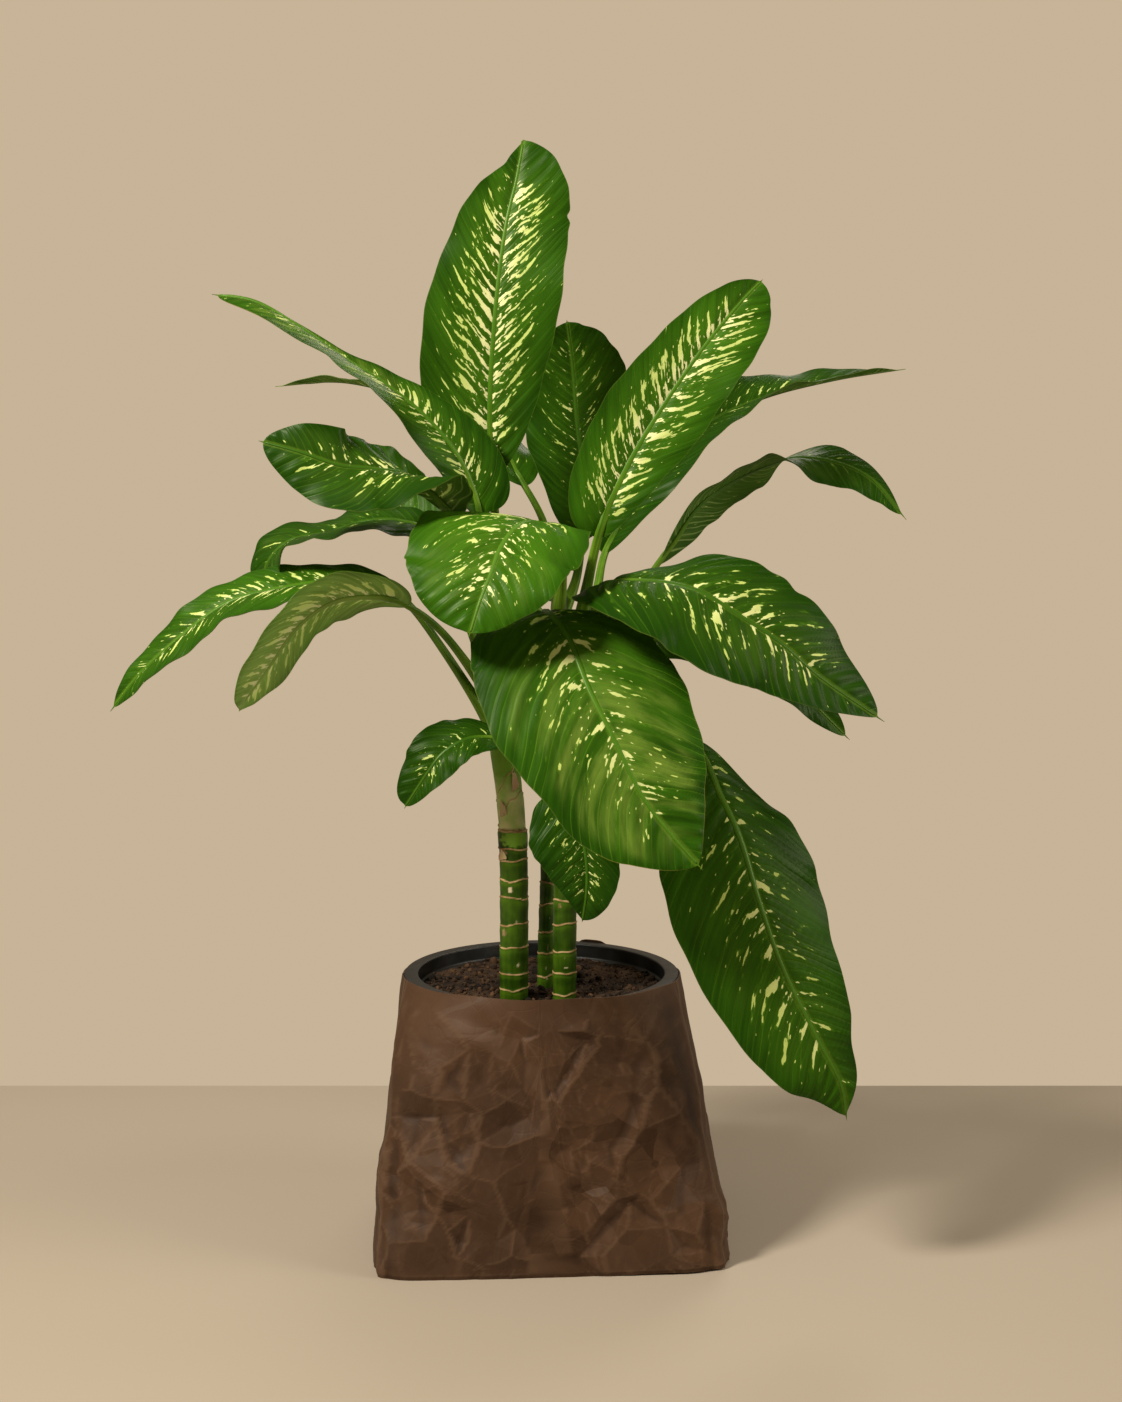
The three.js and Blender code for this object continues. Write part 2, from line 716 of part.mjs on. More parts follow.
// Each cane is a group of its own, which holds the cane and its leaves.
const shoots = {};
for (const cane of CANES) {
  shoots[cane.name] = new THREE.Group();
  group.add(shoots[cane.name]);
  addPiece(shoots[cane.name], cane.name, caneSolid(cane, 0), MATERIALS.cane);
}

// A leaf is cut where it meets a cane or a leaf placed before it, GAP clear of
// both, as the sheaths wrap one another on the plant.
const cutters = CANES.map((cane) => caneSolid(cane, GAP));
for (const leaf of LEAVES) {
  const whole = leafSolid(leaf, 0);
  const cut = cutters.reduce((body, cutter) => body.subtract(cutter), whole);
  addPiece(shoots[leaf.cane], leaf.name, mainBody(cut), MATERIALS.leaf);
  cutters.push(leafSolid(leaf, GAP));
}

addPiece(group, 'nursery_pot', nurseryPot(), MATERIALS.pot);
addPiece(group, 'soil', soilSolid(), MATERIALS.soil);
addPiece(group, 'paper_bag', paperBag(), MATERIALS.bag);

export default group;
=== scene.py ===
"""A potted dieffenbachia: three canes with nineteen leaves, in a black nursery pot
that stands in a creased brown paper bag. Lengths in the tables are
millimetres, except where a comment says pixels."""

import math

import bmesh
import bpy
import numpy as np
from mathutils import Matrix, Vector, geometry, noise


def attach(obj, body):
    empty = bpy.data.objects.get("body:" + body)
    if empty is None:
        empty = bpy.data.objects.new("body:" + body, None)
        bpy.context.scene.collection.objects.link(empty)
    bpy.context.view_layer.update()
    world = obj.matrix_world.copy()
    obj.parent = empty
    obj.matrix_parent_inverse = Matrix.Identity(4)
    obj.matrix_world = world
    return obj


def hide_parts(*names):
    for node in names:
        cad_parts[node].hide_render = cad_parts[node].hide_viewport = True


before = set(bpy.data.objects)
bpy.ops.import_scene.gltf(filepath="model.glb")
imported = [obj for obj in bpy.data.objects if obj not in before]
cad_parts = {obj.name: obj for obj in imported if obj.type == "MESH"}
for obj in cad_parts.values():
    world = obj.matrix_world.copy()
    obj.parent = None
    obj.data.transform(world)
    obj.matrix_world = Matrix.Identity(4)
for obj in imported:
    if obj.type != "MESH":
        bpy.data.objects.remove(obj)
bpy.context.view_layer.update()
MM = 0.001


# ---- Camera ------------------------------------------------------------------

CAMERA_PLACE = (0.017, -1.673, 0.590)
CAMERA_PITCH = 4.37  # degrees below the horizon
FOCAL_LENGTH = 50.07
SENSOR_SIDE = 36.0


def add_camera():
    data = bpy.data.cameras.new("camera")
    data.lens = FOCAL_LENGTH
    data.sensor_width = SENSOR_SIDE
    camera = bpy.data.objects.new("camera", data)
    camera.location = CAMERA_PLACE
    camera.rotation_euler = (math.radians(90 - CAMERA_PITCH), 0, 0)
    bpy.context.scene.collection.objects.link(camera)
    bpy.context.scene.camera = camera


add_camera()


# ---- Tables ------------------------------------------------------------------

# The paths of the canes and leaves started as points read off the photo, at depths
# chosen one by one. Another script turned them into these rounded millimetres, and
# some were changed by hand since.

# Canes: axis points with the radius at each, and the heights of the leaf scars. A
# bulge or a pale stretch that lies ABOVE_ALL is none.
ABOVE_ALL = (600, 601)
CANES = [
    dict(name="cane_left",
         path=[(-23, -36, 150), (-23, -36, 230), (-23, -36, 321), (-26, -36, 381), (-33, -36, 432),
               (-39, -38, 480), (-40, -38, 514)],
         radii=[11, 12.3, 12, 11.5, 11, 10.5, 8.5],
         scars=[221, 234, 257, 276, 299, 315, 331, 340, 356],
         sheaths=[[(-200, 378), (-150, 387), (-90, 402), (-20, 414), (20, 412), (160, 380)],
                  [(-200, 360), (-165, 361), (-140, 369), (-90, 381), (-20, 389), (160, 362)]],
         bulge=(340, 356), pale=(357, 404),
         marks=[(-104, 306, 1.9, 2.9, 0, 1.0), (-71, 242, 1.2, 1.7, 0, 0.8),
                (-79, 279, 0.9, 1.0, 0, 0.4), (-133, 269, 2.2, 3.4, 1, 0.6),
                (-135, 337, 3.6, 4.2, 1, 0.9), (-60, 398, 4.0, 4.0, 1, 0.3),
                (-70, 356, 8.0, 1.6, 1, 0.8), (-125, 357, 4.0, 1.8, 1, 0.7),
                (-75, 349, 14.0, 7.0, 2, 1.0), (-90, 478, 900.0, 90.0, 2, 1.0)]),
    dict(name="cane_right",
         path=[(20, -30, 150), (20, -30, 230), (21, -30, 320), (25, -30, 414), (29, -30, 490),
               (32, -30, 532)],
         radii=[9, 10.2, 10, 9.6, 9, 8],
         scars=[215, 233, 252, 275, 295, 314, 336, 357, 380, 402, 430, 458, 486, 512],
         sheaths=[], bulge=ABOVE_ALL, pale=ABOVE_ALL,
         marks=[(-82, 238, 2.2, 0.7, 0, 0.9), (-117, 291, 1.5, 2.2, 1, 0.7),
                (-88, 246, 0.5, 2.0, 0, 0.3)]),
    dict(name="cane_back",
         path=[(3, 12, 150), (3, 12, 230), (6, 12, 320), (10, 12, 450), (14, 12, 520),
               (16, 13, 552)],
         radii=[6, 6.8, 6.8, 7, 8, 7],
         scars=[221, 241, 260, 284, 303, 325, 349, 376, 405, 436, 468, 500, 530],
         sheaths=[], bulge=ABOVE_ALL, pale=ABOVE_ALL,
         marks=[(-70, 246, 0.8, 3.2, 1, 0.8), (-80, 228, 1.0, 1.6, 0, 0.4)]),
]

# Leaves. path, base, faces, half_width, outline, fold, curl and petiole are the
# CAD model's, except that the lower half of leaf_left_up's path stands farther
# forward, clear of leaf_top. waves: height, count and phase of the ripples of the edge. dents:
# side, place, depth as a share of the width, and length as a share of the blade.
# veins: how far the side veins lean towards the tip, at the base and at the tip.
# streaks, yellow and light: how streaked, how yellow and how pale the blade is; light is
# partly the blade's own tone and partly painted light and shade for how brightly the leaf is lit.
# point: the tip narrows over three times this share of the length. pleats: how deep
# the pleats are. detail: how fine the pattern of the blade is.
LEAF_COMMON = dict(base=2, curl=-8, dents=[], yellow=0.0, point=0.02, pleats=0.42, detail=1.0)
LEAVES = [
    dict(name="leaf_top", cane="cane_left",
         path=[(-40, -38, 500), (-38, -40, 545), (-36, -40, 590), (-41, -36, 660),
               (-42, -40, 716), (-37, -44, 790), (-29, -40, 855), (-20, -34, 896),
               (-14, -26, 931)],
         base=3, faces=[(0, -1, 0.1)], half_width=(59.5, 54),
         outline=((0.42, 1.12), (0.6, 0.52)), fold=(12, 12), curl=-14, petiole=4.6,
         waves=(3.0, 2.4, 0.5), veins=(0.7, 1.1),
         dents=[(-1, 0.87, 0.16, 0.035), (1, 0.70, 0.07, 0.02)], streaks=1.12, light=0.1,
         point=0.003),
    dict(name="leaf_upper_right", cane="cane_right",
         path=[(30, -33, 512), (38, -46, 558), (50, -62, 610), (72, -62, 661), (100, -56, 708),
               (133, -50, 756), (165, -44, 795), (184, -40, 815)],
         faces=[(0.12, -1, 0.25)], half_width=(44, 41), outline=((0.32, 0.8), (0.6, 0.55)),
         fold=(14, 14), curl=-10, petiole=4.8, waves=(2.5, 2.0, 0.5), veins=(0.7, 1.1),
         dents=[(1, 0.9, 0.08, 0.03)], streaks=1.28, light=0.3),
    dict(name="leaf_back", cane="cane_back",
         path=[(16, 14, 532), (30, 28, 566), (36, 50, 609), (36, 62, 662), (31, 66, 706),
               (28, 64, 746), (25, 58, 771), (22, 50, 792)],
         faces=[(-0.1, -1, 0.15)], half_width=(47, 48), outline=((0.5, 0.6), (0.5, 0.5)),
         fold=(14, 14), petiole=4, waves=(2.5, 2.6, 2.0), veins=(0.5, 1.0),
         dents=[(1, 0.95, 0.2, 0.02)], streaks=0.62, light=-0.15),
    dict(name="leaf_right_long", cane="cane_right",
         path=[(34, -27, 515), (47, -8, 555), (58, 18, 596), (95, 40, 653), (140, 60, 699),
               (194, 75, 726), (258, 88, 743), (327, 100, 755)],
         faces=[(-0.2, -0.8, 0.5), (-0.1, -0.8, 0.6), (0, -0.6, 0.8), (0, -0.35, 0.95),
                (0, -0.2, 1), (0, 0.2, 1)], half_width=(40, 33),
         outline=((0.55, 0.9), (0.55, 0.9)), fold=(25, 25), petiole=4.2, waves=(3.0, 3.2, 1.0),
         veins=(0.7, 1.2), streaks=0.6, light=-0.6),
    dict(name="leaf_right_arch", cane="cane_right",
         path=[(35, -30, 500), (70, -12, 541), (105, 6, 587), (133, 16, 628), (163, 26, 650),
               (194, 34, 665), (223, 38, 673), (258, 36, 668), (288, 28, 652), (315, 16, 618)],
         faces=[(-0.4, 0.35, 0.85), (-0.4, 0.3, 0.85), (-0.3, 0.3, 0.9), (-0.2, 0.1, 0.9),
                (0, -0.5, 0.9), (0.1, -0.9, 0.5), (0.1, -1, 0.4), (0.1, -1, 0.3)],
         half_width=(36, 32), outline=((0.6, 1), (0.8, 0.7)), fold=(-20, 8), petiole=3.8,
         waves=(2.5, 2.8, 0.0), veins=(0.7, 1.2), dents=[(1, 0.93, 0.15, 0.02)], streaks=0.3,
         yellow=0.1, light=-0.45),
    dict(name="leaf_right_big", cane="cane_right",
         path=[(33, -35, 494), (43, -72, 532), (51, -110, 564), (87, -140, 568), (122, -158, 561),
               (154, -166, 542), (187, -168, 520), (220, -164, 492), (270, -156, 458)],
         faces=[(0, -0.4, 1), (0, -0.5, 1), (-0.1, -0.75, 0.8), (-0.1, -0.85, 0.7),
                (0.1, -0.9, 0.6), (0.3, -0.9, 0.5)], half_width=(54, 67),
         outline=((0.7, 0.62), (0.34, 0.8)), fold=(6, 6), curl=-16, petiole=4.6,
         waves=(2.0, 2.2, 1.4), veins=(0.35, 1.0), dents=[(-1, 0.62, 0.07, 0.03)], streaks=0.80,
         yellow=0.1, light=-0.6, pleats=0.8, detail=0.78),
    dict(name="leaf_front_big", cane="cane_right",
         path=[(27, -35, 484), (16, -68, 522), (5, -105, 542), (13, -135, 537), (24, -156, 522),
               (39, -180, 485), (57, -196, 449), (78, -208, 407), (99, -214, 379),
               (124, -218, 351)],
         faces=[(0, -0.5, 1), (0.05, -0.8, 0.7), (0.05, -1, 0.5), (0.1, -1, 0.35),
                (0.1, -1, 0.3)], half_width=(71, 84), outline=((0.8, 0.8), (0.42, 0.7)),
         fold=(4, 4), curl=-18, petiole=4.8, waves=(1.8, 2.3, 0.9), veins=(0.15, 1.05),
         streaks=0.70, yellow=0.85, light=0.1, pleats=0.8, detail=0.72),
    dict(name="leaf_bottom_right", cane="cane_right",
         path=[(26, -34, 404), (70, -62, 430), (123, -84, 435), (147, -112, 392),
               (161, -128, 360), (174, -142, 315), (193, -150, 261), (221, -150, 205),
               (241, -144, 166), (247, -136, 134)],
         faces=[(0.3, -0.6, 1), (0.2, -0.9, 0.5), (0.2, -1, 0.3), (0.2, -1, 0.2)],
         half_width=(59, 72), outline=((0.9, 1.25), (0.5, 0.8)), fold=(-5, -7), curl=-12,
         petiole=4.4, waves=(2.4, 2.9, 0.3), veins=(0.3, 1.1), dents=[(-1, 0.78, 0.12, 0.05)],
         streaks=0.66, yellow=0.08, light=0.0, pleats=0.7, detail=0.72),
    dict(name="leaf_center", cane="cane_back",
         path=[(14, 9, 530), (18, -20, 575), (13, -70, 603), (-5, -110, 615), (-18, -140, 610),
               (-30, -164, 593), (-37, -180, 573), (-45, -190, 552), (-53, -196, 526)],
         faces=[(0, -0.2, 1), (0, -0.5, 1), (0, -0.8, 0.8), (-0.1, -0.9, 0.5), (-0.1, -1, 0.3)],
         half_width=(62, 74), outline=((0.45, 0.6), (0.42, 0.42)), fold=(4, 4), curl=-14,
         petiole=4.4, waves=(2.2, 2.4, 2.0), veins=(0.3, 1.0), streaks=0.92, yellow=0.25,
         light=0.4, pleats=0.6),
    dict(name="leaf_left_up", cane="cane_left",
         path=[(-42, -35, 494), (-49, -42, 550), (-50, -48, 594), (-52, -54, 629),
               (-67, -58, 668), (-95, -62, 702), (-127, -66, 728), (-159, -68, 748),
               (-195, -68, 773), (-232, -64, 794), (-269, -56, 801)],
         base=3,
         faces=[(0.3, -0.9, 0.3), (0.25, -0.9, 0.5), (0.1, -0.6, 0.9), (0, -0.35, 1),
                (0, -0.7, 0.8), (0, -0.9, 0.6)], half_width=(33, 32),
         outline=((0.5, 0.65), (0.3, 2.6)), fold=(16, 16), petiole=4, waves=(2.0, 2.4, 0.2),
         veins=(0.7, 1.2), streaks=0.9, yellow=0.7, light=0.05),
    dict(name="leaf_left_thin", cane="cane_back",
         path=[(14, 14, 538), (4, 36, 609), (-19, 52, 655), (-37, 66, 684), (-82, 86, 715),
               (-128, 100, 732), (-183, 112, 744), (-243, 118, 741)],
         faces=[(0, -0.1, 1), (0, 0.1, 1)], half_width=(36, 36),
         outline=((0.45, 0.9), (0.45, 0.9)), fold=(14, 14), petiole=3.8, waves=(3.0, 3.0, 1.0),
         veins=(0.7, 1.2), streaks=0.6, light=0.1),
    dict(name="leaf_left_mid", cane="cane_right",
         path=[(27, -33, 506), (4, -44, 534), (-33, -60, 575), (-74, -70, 623), (-90, -92, 641),
               (-107, -112, 653), (-132, -128, 656), (-157, -138, 658), (-187, -140, 668),
               (-220, -136, 677)],
         base=3,
         faces=[(0.3, 0.9, 0.3), (0.2, 0.5, 0.8), (0, -0.4, 1), (-0.1, -0.85, 0.7),
                (-0.2, -1, 0.4), (-0.2, -1, 0.3), (-0.2, -1, 0.2)], half_width=(46, 32),
         outline=((0.42, 0.62), (0.8, 0.6)), fold=(6, 6), curl=-10, petiole=4,
         waves=(3.4, 2.6, 1.2), veins=(0.4, 1.0), streaks=0.80, yellow=0.1, light=-0.6),
    dict(name="leaf_left_fold", cane="cane_left",
         path=[(-40, -32, 486), (-58, -12, 546), (-99, 8, 609), (-126, 20, 630), (-154, 34, 649),
               (-181, 48, 662), (-204, 58, 669)],
         faces=[(-0.2, -0.7, 0.7), (0, -0.8, 0.7)], half_width=(36, 40),
         outline=((0.45, 0.7), (0.45, 0.7)), fold=(22, 22), petiole=3.6, waves=(2.6, 2.4, 0.4),
         veins=(0.5, 1.0), streaks=0.7, yellow=0.2, light=0.2),
    dict(name="leaf_left_lower", cane="cane_left",
         path=[(-43, -41, 482), (-65, -58, 545), (-92, -66, 604), (-115, -66, 616),
               (-144, -62, 616), (-175, -56, 607), (-208, -50, 600), (-227, -46, 582),
               (-233, -42, 557)],
         faces=[(0, -0.6, 1), (0, -0.5, 1), (-0.1, -0.25, 1), (-0.3, -0.5, 0.8),
                (-0.5, -0.8, 0.5)], half_width=(43, 28), outline=((0.45, 0.42), (0.45, 0.42)),
         fold=(12, 12), petiole=3.8, waves=(2.6, 2.8, 0.9), veins=(0.6, 1.1), streaks=0.5,
         yellow=0.1, light=-0.45),
    dict(name="leaf_left_long", cane="cane_left",
         path=[(-38, -38, 440), (-78, -56, 505), (-105, -70, 544), (-123, -76, 557),
               (-163, -84, 567), (-208, -90, 562), (-251, -92, 551), (-289, -90, 525),
               (-326, -86, 492), (-353, -80, 460)],
         base=3, faces=[(-0.1, -0.6, 1), (-0.1, -0.6, 1), (-0.2, -0.7, 0.8), (-0.3, -0.8, 0.6)],
         half_width=(34, 25), outline=((0.4, 0.7), (0.4, 0.7)), fold=(14, 14), curl=-10,
         petiole=3.8, waves=(2.4, 3.6, 0.0), veins=(0.7, 1.2), streaks=0.85, light=0.15),
    dict(name="leaf_left_near", cane="cane_left",
         path=[(-40, -41, 466), (-80, -76, 524), (-113, -100, 550), (-137, -114, 555),
               (-166, -126, 550), (-192, -136, 530), (-215, -142, 497), (-232, -142, 474),
               (-237, -142, 465)],
         faces=[(-0.2, 0.5, 1), (-0.4, 0.6, 0.8), (-0.6, 0.6, 0.4), (-0.6, 0.8, 0.3)],
         half_width=(31, 32), outline=((0.5, 1.0), (0.5, 1.0)), fold=(8, 8), petiole=3.6,
         waves=(2.0, 2.5, 0.7), veins=(0.6, 1.1), streaks=1.2, yellow=0.3, light=0.75),
    dict(name="leaf_small_left", cane="cane_left",
         path=[(-32, -40, 424), (-30, -58, 434), (-38, -70, 438), (-59, -80, 438),
               (-79, -86, 427), (-93, -88, 409), (-112, -84, 380)],
         faces=[(0, -0.5, 1), (0, -0.8, 0.7), (-0.2, -1, 0.3)], half_width=(23, 27),
         outline=((0.3, 0.6), (0.38, 0.4)), fold=(8, 8), petiole=3, waves=(1.6, 2.2, 0.5),
         veins=(0.4, 1.0), streaks=0.66, light=-1.3, detail=1.5),
    dict(name="leaf_small_mid", cane="cane_right",
         path=[(23, -34, 376), (20, -56, 392), (25, -68, 390), (33, -77, 364), (38, -82, 336),
               (38, -84, 310), (34.5, -82, 285)],
         faces=[(-0.1, -1, 0.3), (0.1, -1, 0.1)], half_width=(28, 44),
         outline=((0.4, 0.5), (0.42, 1.0)), fold=(8, 8), petiole=3, waves=(1.6, 2.0, 2.5),
         veins=(0.3, 0.9), streaks=0.74, light=-0.35, detail=1.6),
    dict(name="leaf_right_under", cane="cane_right",
         path=[(30, -31, 462), (58, -42, 490), (83, -56, 514), (123, -70, 518), (164, -78, 506),
               (205, -80, 483), (255, -76, 436)],
         faces=[(0, -0.6, 0.9), (0.1, -0.9, 0.6)], half_width=(28, 28),
         outline=((0.45, 0.65), (0.45, 0.65)), fold=(8, 8), curl=-10, petiole=3.6,
         waves=(2.2, 2.6, 1.8), veins=(0.5, 1.1), streaks=0.4, light=0.0),
]
LEAVES = [{**LEAF_COMMON, **leaf} for leaf in LEAVES]

POT = dict(rim_radius=119, rim_top=227, back_lift=3.2, rim_skirt=13, mouth_radius=106.8,
           ledge_depth=12, ledge_step=2, base_radius=88, wall=2, drain_holes=6, drain_radius=6,
           drain_circle=62)
SOIL = dict(middle_height=210, edge_height=215, mound_radius=62, mound_height=210.5)
BAG = dict(paper=1.2, top_radius=120.6, front_top=229, back_top=222, base_half_width=150,
           base_half_depth=125, base_shift=10, base_squareness=9, base_skew=0.065)
GAP = 0.3


# ---- Mesh building -------------------------------------------------------------

class Build:
    """Gathers grids of points into one mesh, with a material and named values
    at each point."""

    def __init__(self, value_names=()):
        self.points = []
        self.faces = []
        self.materials = []
        self.values = {name: [] for name in value_names}
        self.count = 0

    def add_points(self, points, **values):
        points = np.asarray(points, float).reshape(-1, 3)
        start = self.count
        self.points.append(points)
        self.count += len(points)
        for name, gathered in self.values.items():
            given = values.get(name, 0.0)
            block = np.zeros((len(points), 3))
            given = np.asarray(given, float)
            block[:] = given.reshape(-1, 3) if given.ndim > 1 or given.size == 3 else 0.0
            gathered.append(block)
        return start

    def add_faces(self, faces, material):
        self.faces.append(np.asarray(faces, int))
        self.materials.append(np.full(len(faces), material))

    def add_grid(self, grid, material, around=False, flip=False, **values):
        """A sheet of rows x columns of points. around joins the last column to the
        first. Faces look along rows cross columns, or the other way if flipped."""
        rows, columns = grid.shape[:2]
        start = self.add_points(grid, **values)
        index = start + np.arange(rows * columns).reshape(rows, columns)
        if around:
            index = np.hstack([index, index[:, :1]])
        a, b = index[:-1, :-1], index[1:, :-1]
        c, d = index[1:, 1:], index[:-1, 1:]
        quads = np.stack([a, b, c, d] if not flip else [a, d, c, b], -1).reshape(-1, 4)
        self.add_faces(quads, material)
        return index[:, :columns]

    def add_cap(self, ring, centre, material, flip=False, **values):
        """Closes a ring of points with a fan of triangles round one more point."""
        middle = self.add_points([centre], **values)
        following = np.roll(ring, -1)
        fan = np.stack([ring, following, np.full(len(ring), middle)], -1)
        if flip:
            fan = fan[:, ::-1]
        self.add_faces(fan, material)

    def object(self, name, materials, sharp=None):
        mesh = bpy.data.meshes.new(name)
        points = np.concatenate(self.points) * MM
        faces = [face for block in self.faces for face in block.tolist()]
        mesh.from_pydata(points.tolist(), [], faces)
        for material in materials:
            mesh.materials.append(material)
        mesh.polygons.foreach_set("material_index", np.concatenate(self.materials))
        for value_name, gathered in self.values.items():
            layer = mesh.attributes.new(value_name, "FLOAT_VECTOR", "POINT")
            layer.data.foreach_set("vector", np.concatenate(gathered).ravel())
        mesh.shade_smooth()
        if sharp is not None:
            mesh.set_sharp_from_angle(angle=math.radians(sharp))
        mesh.update()
        piece = bpy.data.objects.new(name, mesh)
        bpy.context.scene.collection.objects.link(piece)
        return piece


def place_piece(piece, slot, *nodes):
    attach(piece, "root")
    if nodes:
        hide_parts(*nodes)


def smooth_step(low, high, value):
    share = np.clip((np.asarray(value, float) - low) / (high - low), 0, 1)
    return share * share * (3 - 2 * share)


def mix(a, b, share):
    return a + (b - a) * share


def on_curve(points, place):
    """Points of a smooth curve: place counts the control points passed."""
    points = np.asarray(points, float)
    place = np.atleast_1d(np.asarray(place, float))
    low = np.minimum(np.floor(place).astype(int), len(points) - 2)
    t = (place - low)[:, None]
    longer = np.vstack([2 * points[0] - points[1], points, 2 * points[-1] - points[-2]])
    p0, p1, p2, p3 = (longer[low + k] for k in range(4))
    return 0.5 * (2 * p1 + (p2 - p0) * t + (2 * p0 - 5 * p1 + 4 * p2 - p3) * t ** 2
                  + (3 * p1 - p0 - 3 * p2 + p3) * t ** 3)


def unit(vectors):
    return vectors / np.linalg.norm(vectors, axis=-1, keepdims=True)


def tangent_at(points, place):
    step = 0.02
    last = len(points) - 1
    before = on_curve(points, np.maximum(place - step, 0))
    after = on_curve(points, np.minimum(place + step, last))
    return unit(after - before)


def along(values, share):
    """A list spread evenly over 0 to 1, read at each share."""
    values = np.asarray(values, float)
    steps = np.linspace(0, 1, len(values))
    if values.ndim == 1:
        return np.interp(share, steps, values)
    return np.stack([np.interp(share, steps, values[:, k]) for k in range(3)], -1)


def noise_at(points, scale, seed=0.0):
    """Smooth noise from -1 to 1 at points in millimetres."""
    shifted = np.asarray(points, float) / scale + seed
    return np.array([noise.noise(Vector(p)) for p in shifted.reshape(-1, 3)])


# ---- Materials -----------------------------------------------------------------

class Shader:
    """A node material, with short calls for the nodes that the looks need."""

    def __init__(self, name):
        self.material = bpy.data.materials.new(name)
        self.material.use_nodes = True
        self.tree = self.material.node_tree
        self.tree.nodes.clear()

    def node(self, kind, inputs=None, **settings):
        node = self.tree.nodes.new(kind)
        for key, value in settings.items():
            setattr(node, key, value)
        for key, value in (inputs or {}).items():
            self.feed(node.inputs[key], value)
        return node

    def feed(self, socket, value):
        if isinstance(value, bpy.types.NodeSocket):
            self.tree.links.new(value, socket)
        elif isinstance(value, tuple) and socket.type == "RGBA" and len(value) == 3:
            socket.default_value = (*value, 1)
        else:
            socket.default_value = value

    def math(self, operation, a, b=0.0, clamp=False):
        node = self.tree.nodes.new("ShaderNodeMath")
        node.operation = operation
        node.use_clamp = clamp
        for socket, value in zip(node.inputs, (a, b)):
            self.feed(socket, value)
        return node.outputs[0]

    def times(self, a, b, clamp=False):
        return self.math("MULTIPLY", a, b, clamp)

    def plus(self, a, b, clamp=False):
        return self.math("ADD", a, b, clamp)

    def minus(self, a, b):
        return self.math("SUBTRACT", a, b)

    def step(self, value, low, high, from_value=0.0, to_value=1.0):
        """Turns low to high into from_value to to_value, with soft ends."""
        node = self.node("ShaderNodeMapRange", interpolation_type="SMOOTHSTEP")
        for key, given in zip(("Value", "From Min", "From Max", "To Min", "To Max"),
                              (value, low, high, from_value, to_value)):
            self.feed(node.inputs[key], given)
        return node.outputs["Result"]

    def mix(self, share, a, b, blend="MIX"):
        node = self.node("ShaderNodeMix", data_type="RGBA", blend_type=blend)
        self.feed(node.inputs[0], share)
        self.feed(node.inputs[6], a)
        self.feed(node.inputs[7], b)
        return node.outputs[2]

    def values(self, name):
        """The three parts of a named vector of the mesh."""
        source = self.node("ShaderNodeAttribute", attribute_name=name)
        return self.node("ShaderNodeSeparateXYZ", {0: source.outputs["Vector"]}).outputs

    def vector(self, x, y, z=0.0):
        return self.node("ShaderNodeCombineXYZ", {0: x, 1: y, 2: z}).outputs[0]

    def noise(self, vector, scale=1.0, detail=2.0, roughness=0.5):
        return self.node("ShaderNodeTexNoise", {
            "Vector": vector, "Scale": scale, "Detail": detail,
            "Roughness": roughness}).outputs["Fac"]

    def cells(self, vector, scale, feature="DISTANCE_TO_EDGE", output="Distance"):
        node = self.node("ShaderNodeTexVoronoi", {"Vector": vector, "Scale": scale},
                         feature=feature)
        return node.outputs[output]

    def bump(self, height, strength, distance, normal=None):
        inputs = {"Height": height, "Strength": strength, "Distance": distance}
        if normal is not None:
            inputs["Normal"] = normal
        return self.node("ShaderNodeBump", inputs).outputs[0]

    def vector_math(self, operation, a, b=(0.0, 0.0, 0.0)):
        return self.node("ShaderNodeVectorMath", {0: a, 1: b}, operation=operation).outputs[0]

    def place(self):
        return self.node("ShaderNodeTexCoord").outputs["Object"]

    def surface(self, color, rough, normal=None, specular=0.5, ior=1.5, tint=(1.0, 1.0, 1.0),
                thin=0.0, thin_color=None):
        """The outgoing shader; thin is the share of light that comes through."""
        inputs = {"Base Color": color, "Roughness": rough, "Specular IOR Level": specular,
                  "IOR": ior, "Specular Tint": tint}
        if normal is not None:
            inputs["Normal"] = normal
        result = self.node("ShaderNodeBsdfPrincipled", inputs).outputs[0]
        if thin:
            through = self.node("ShaderNodeBsdfTranslucent", {0: thin_color})
            result = self.node("ShaderNodeMixShader", {
                0: thin, 1: result, 2: through.outputs[0]}).outputs[0]
        self.node("ShaderNodeOutputMaterial", {0: result})
        return self.material


TAU = 2 * math.pi
VEIN_SPACING = 6.5
PLEAT_SPACING = 14.0


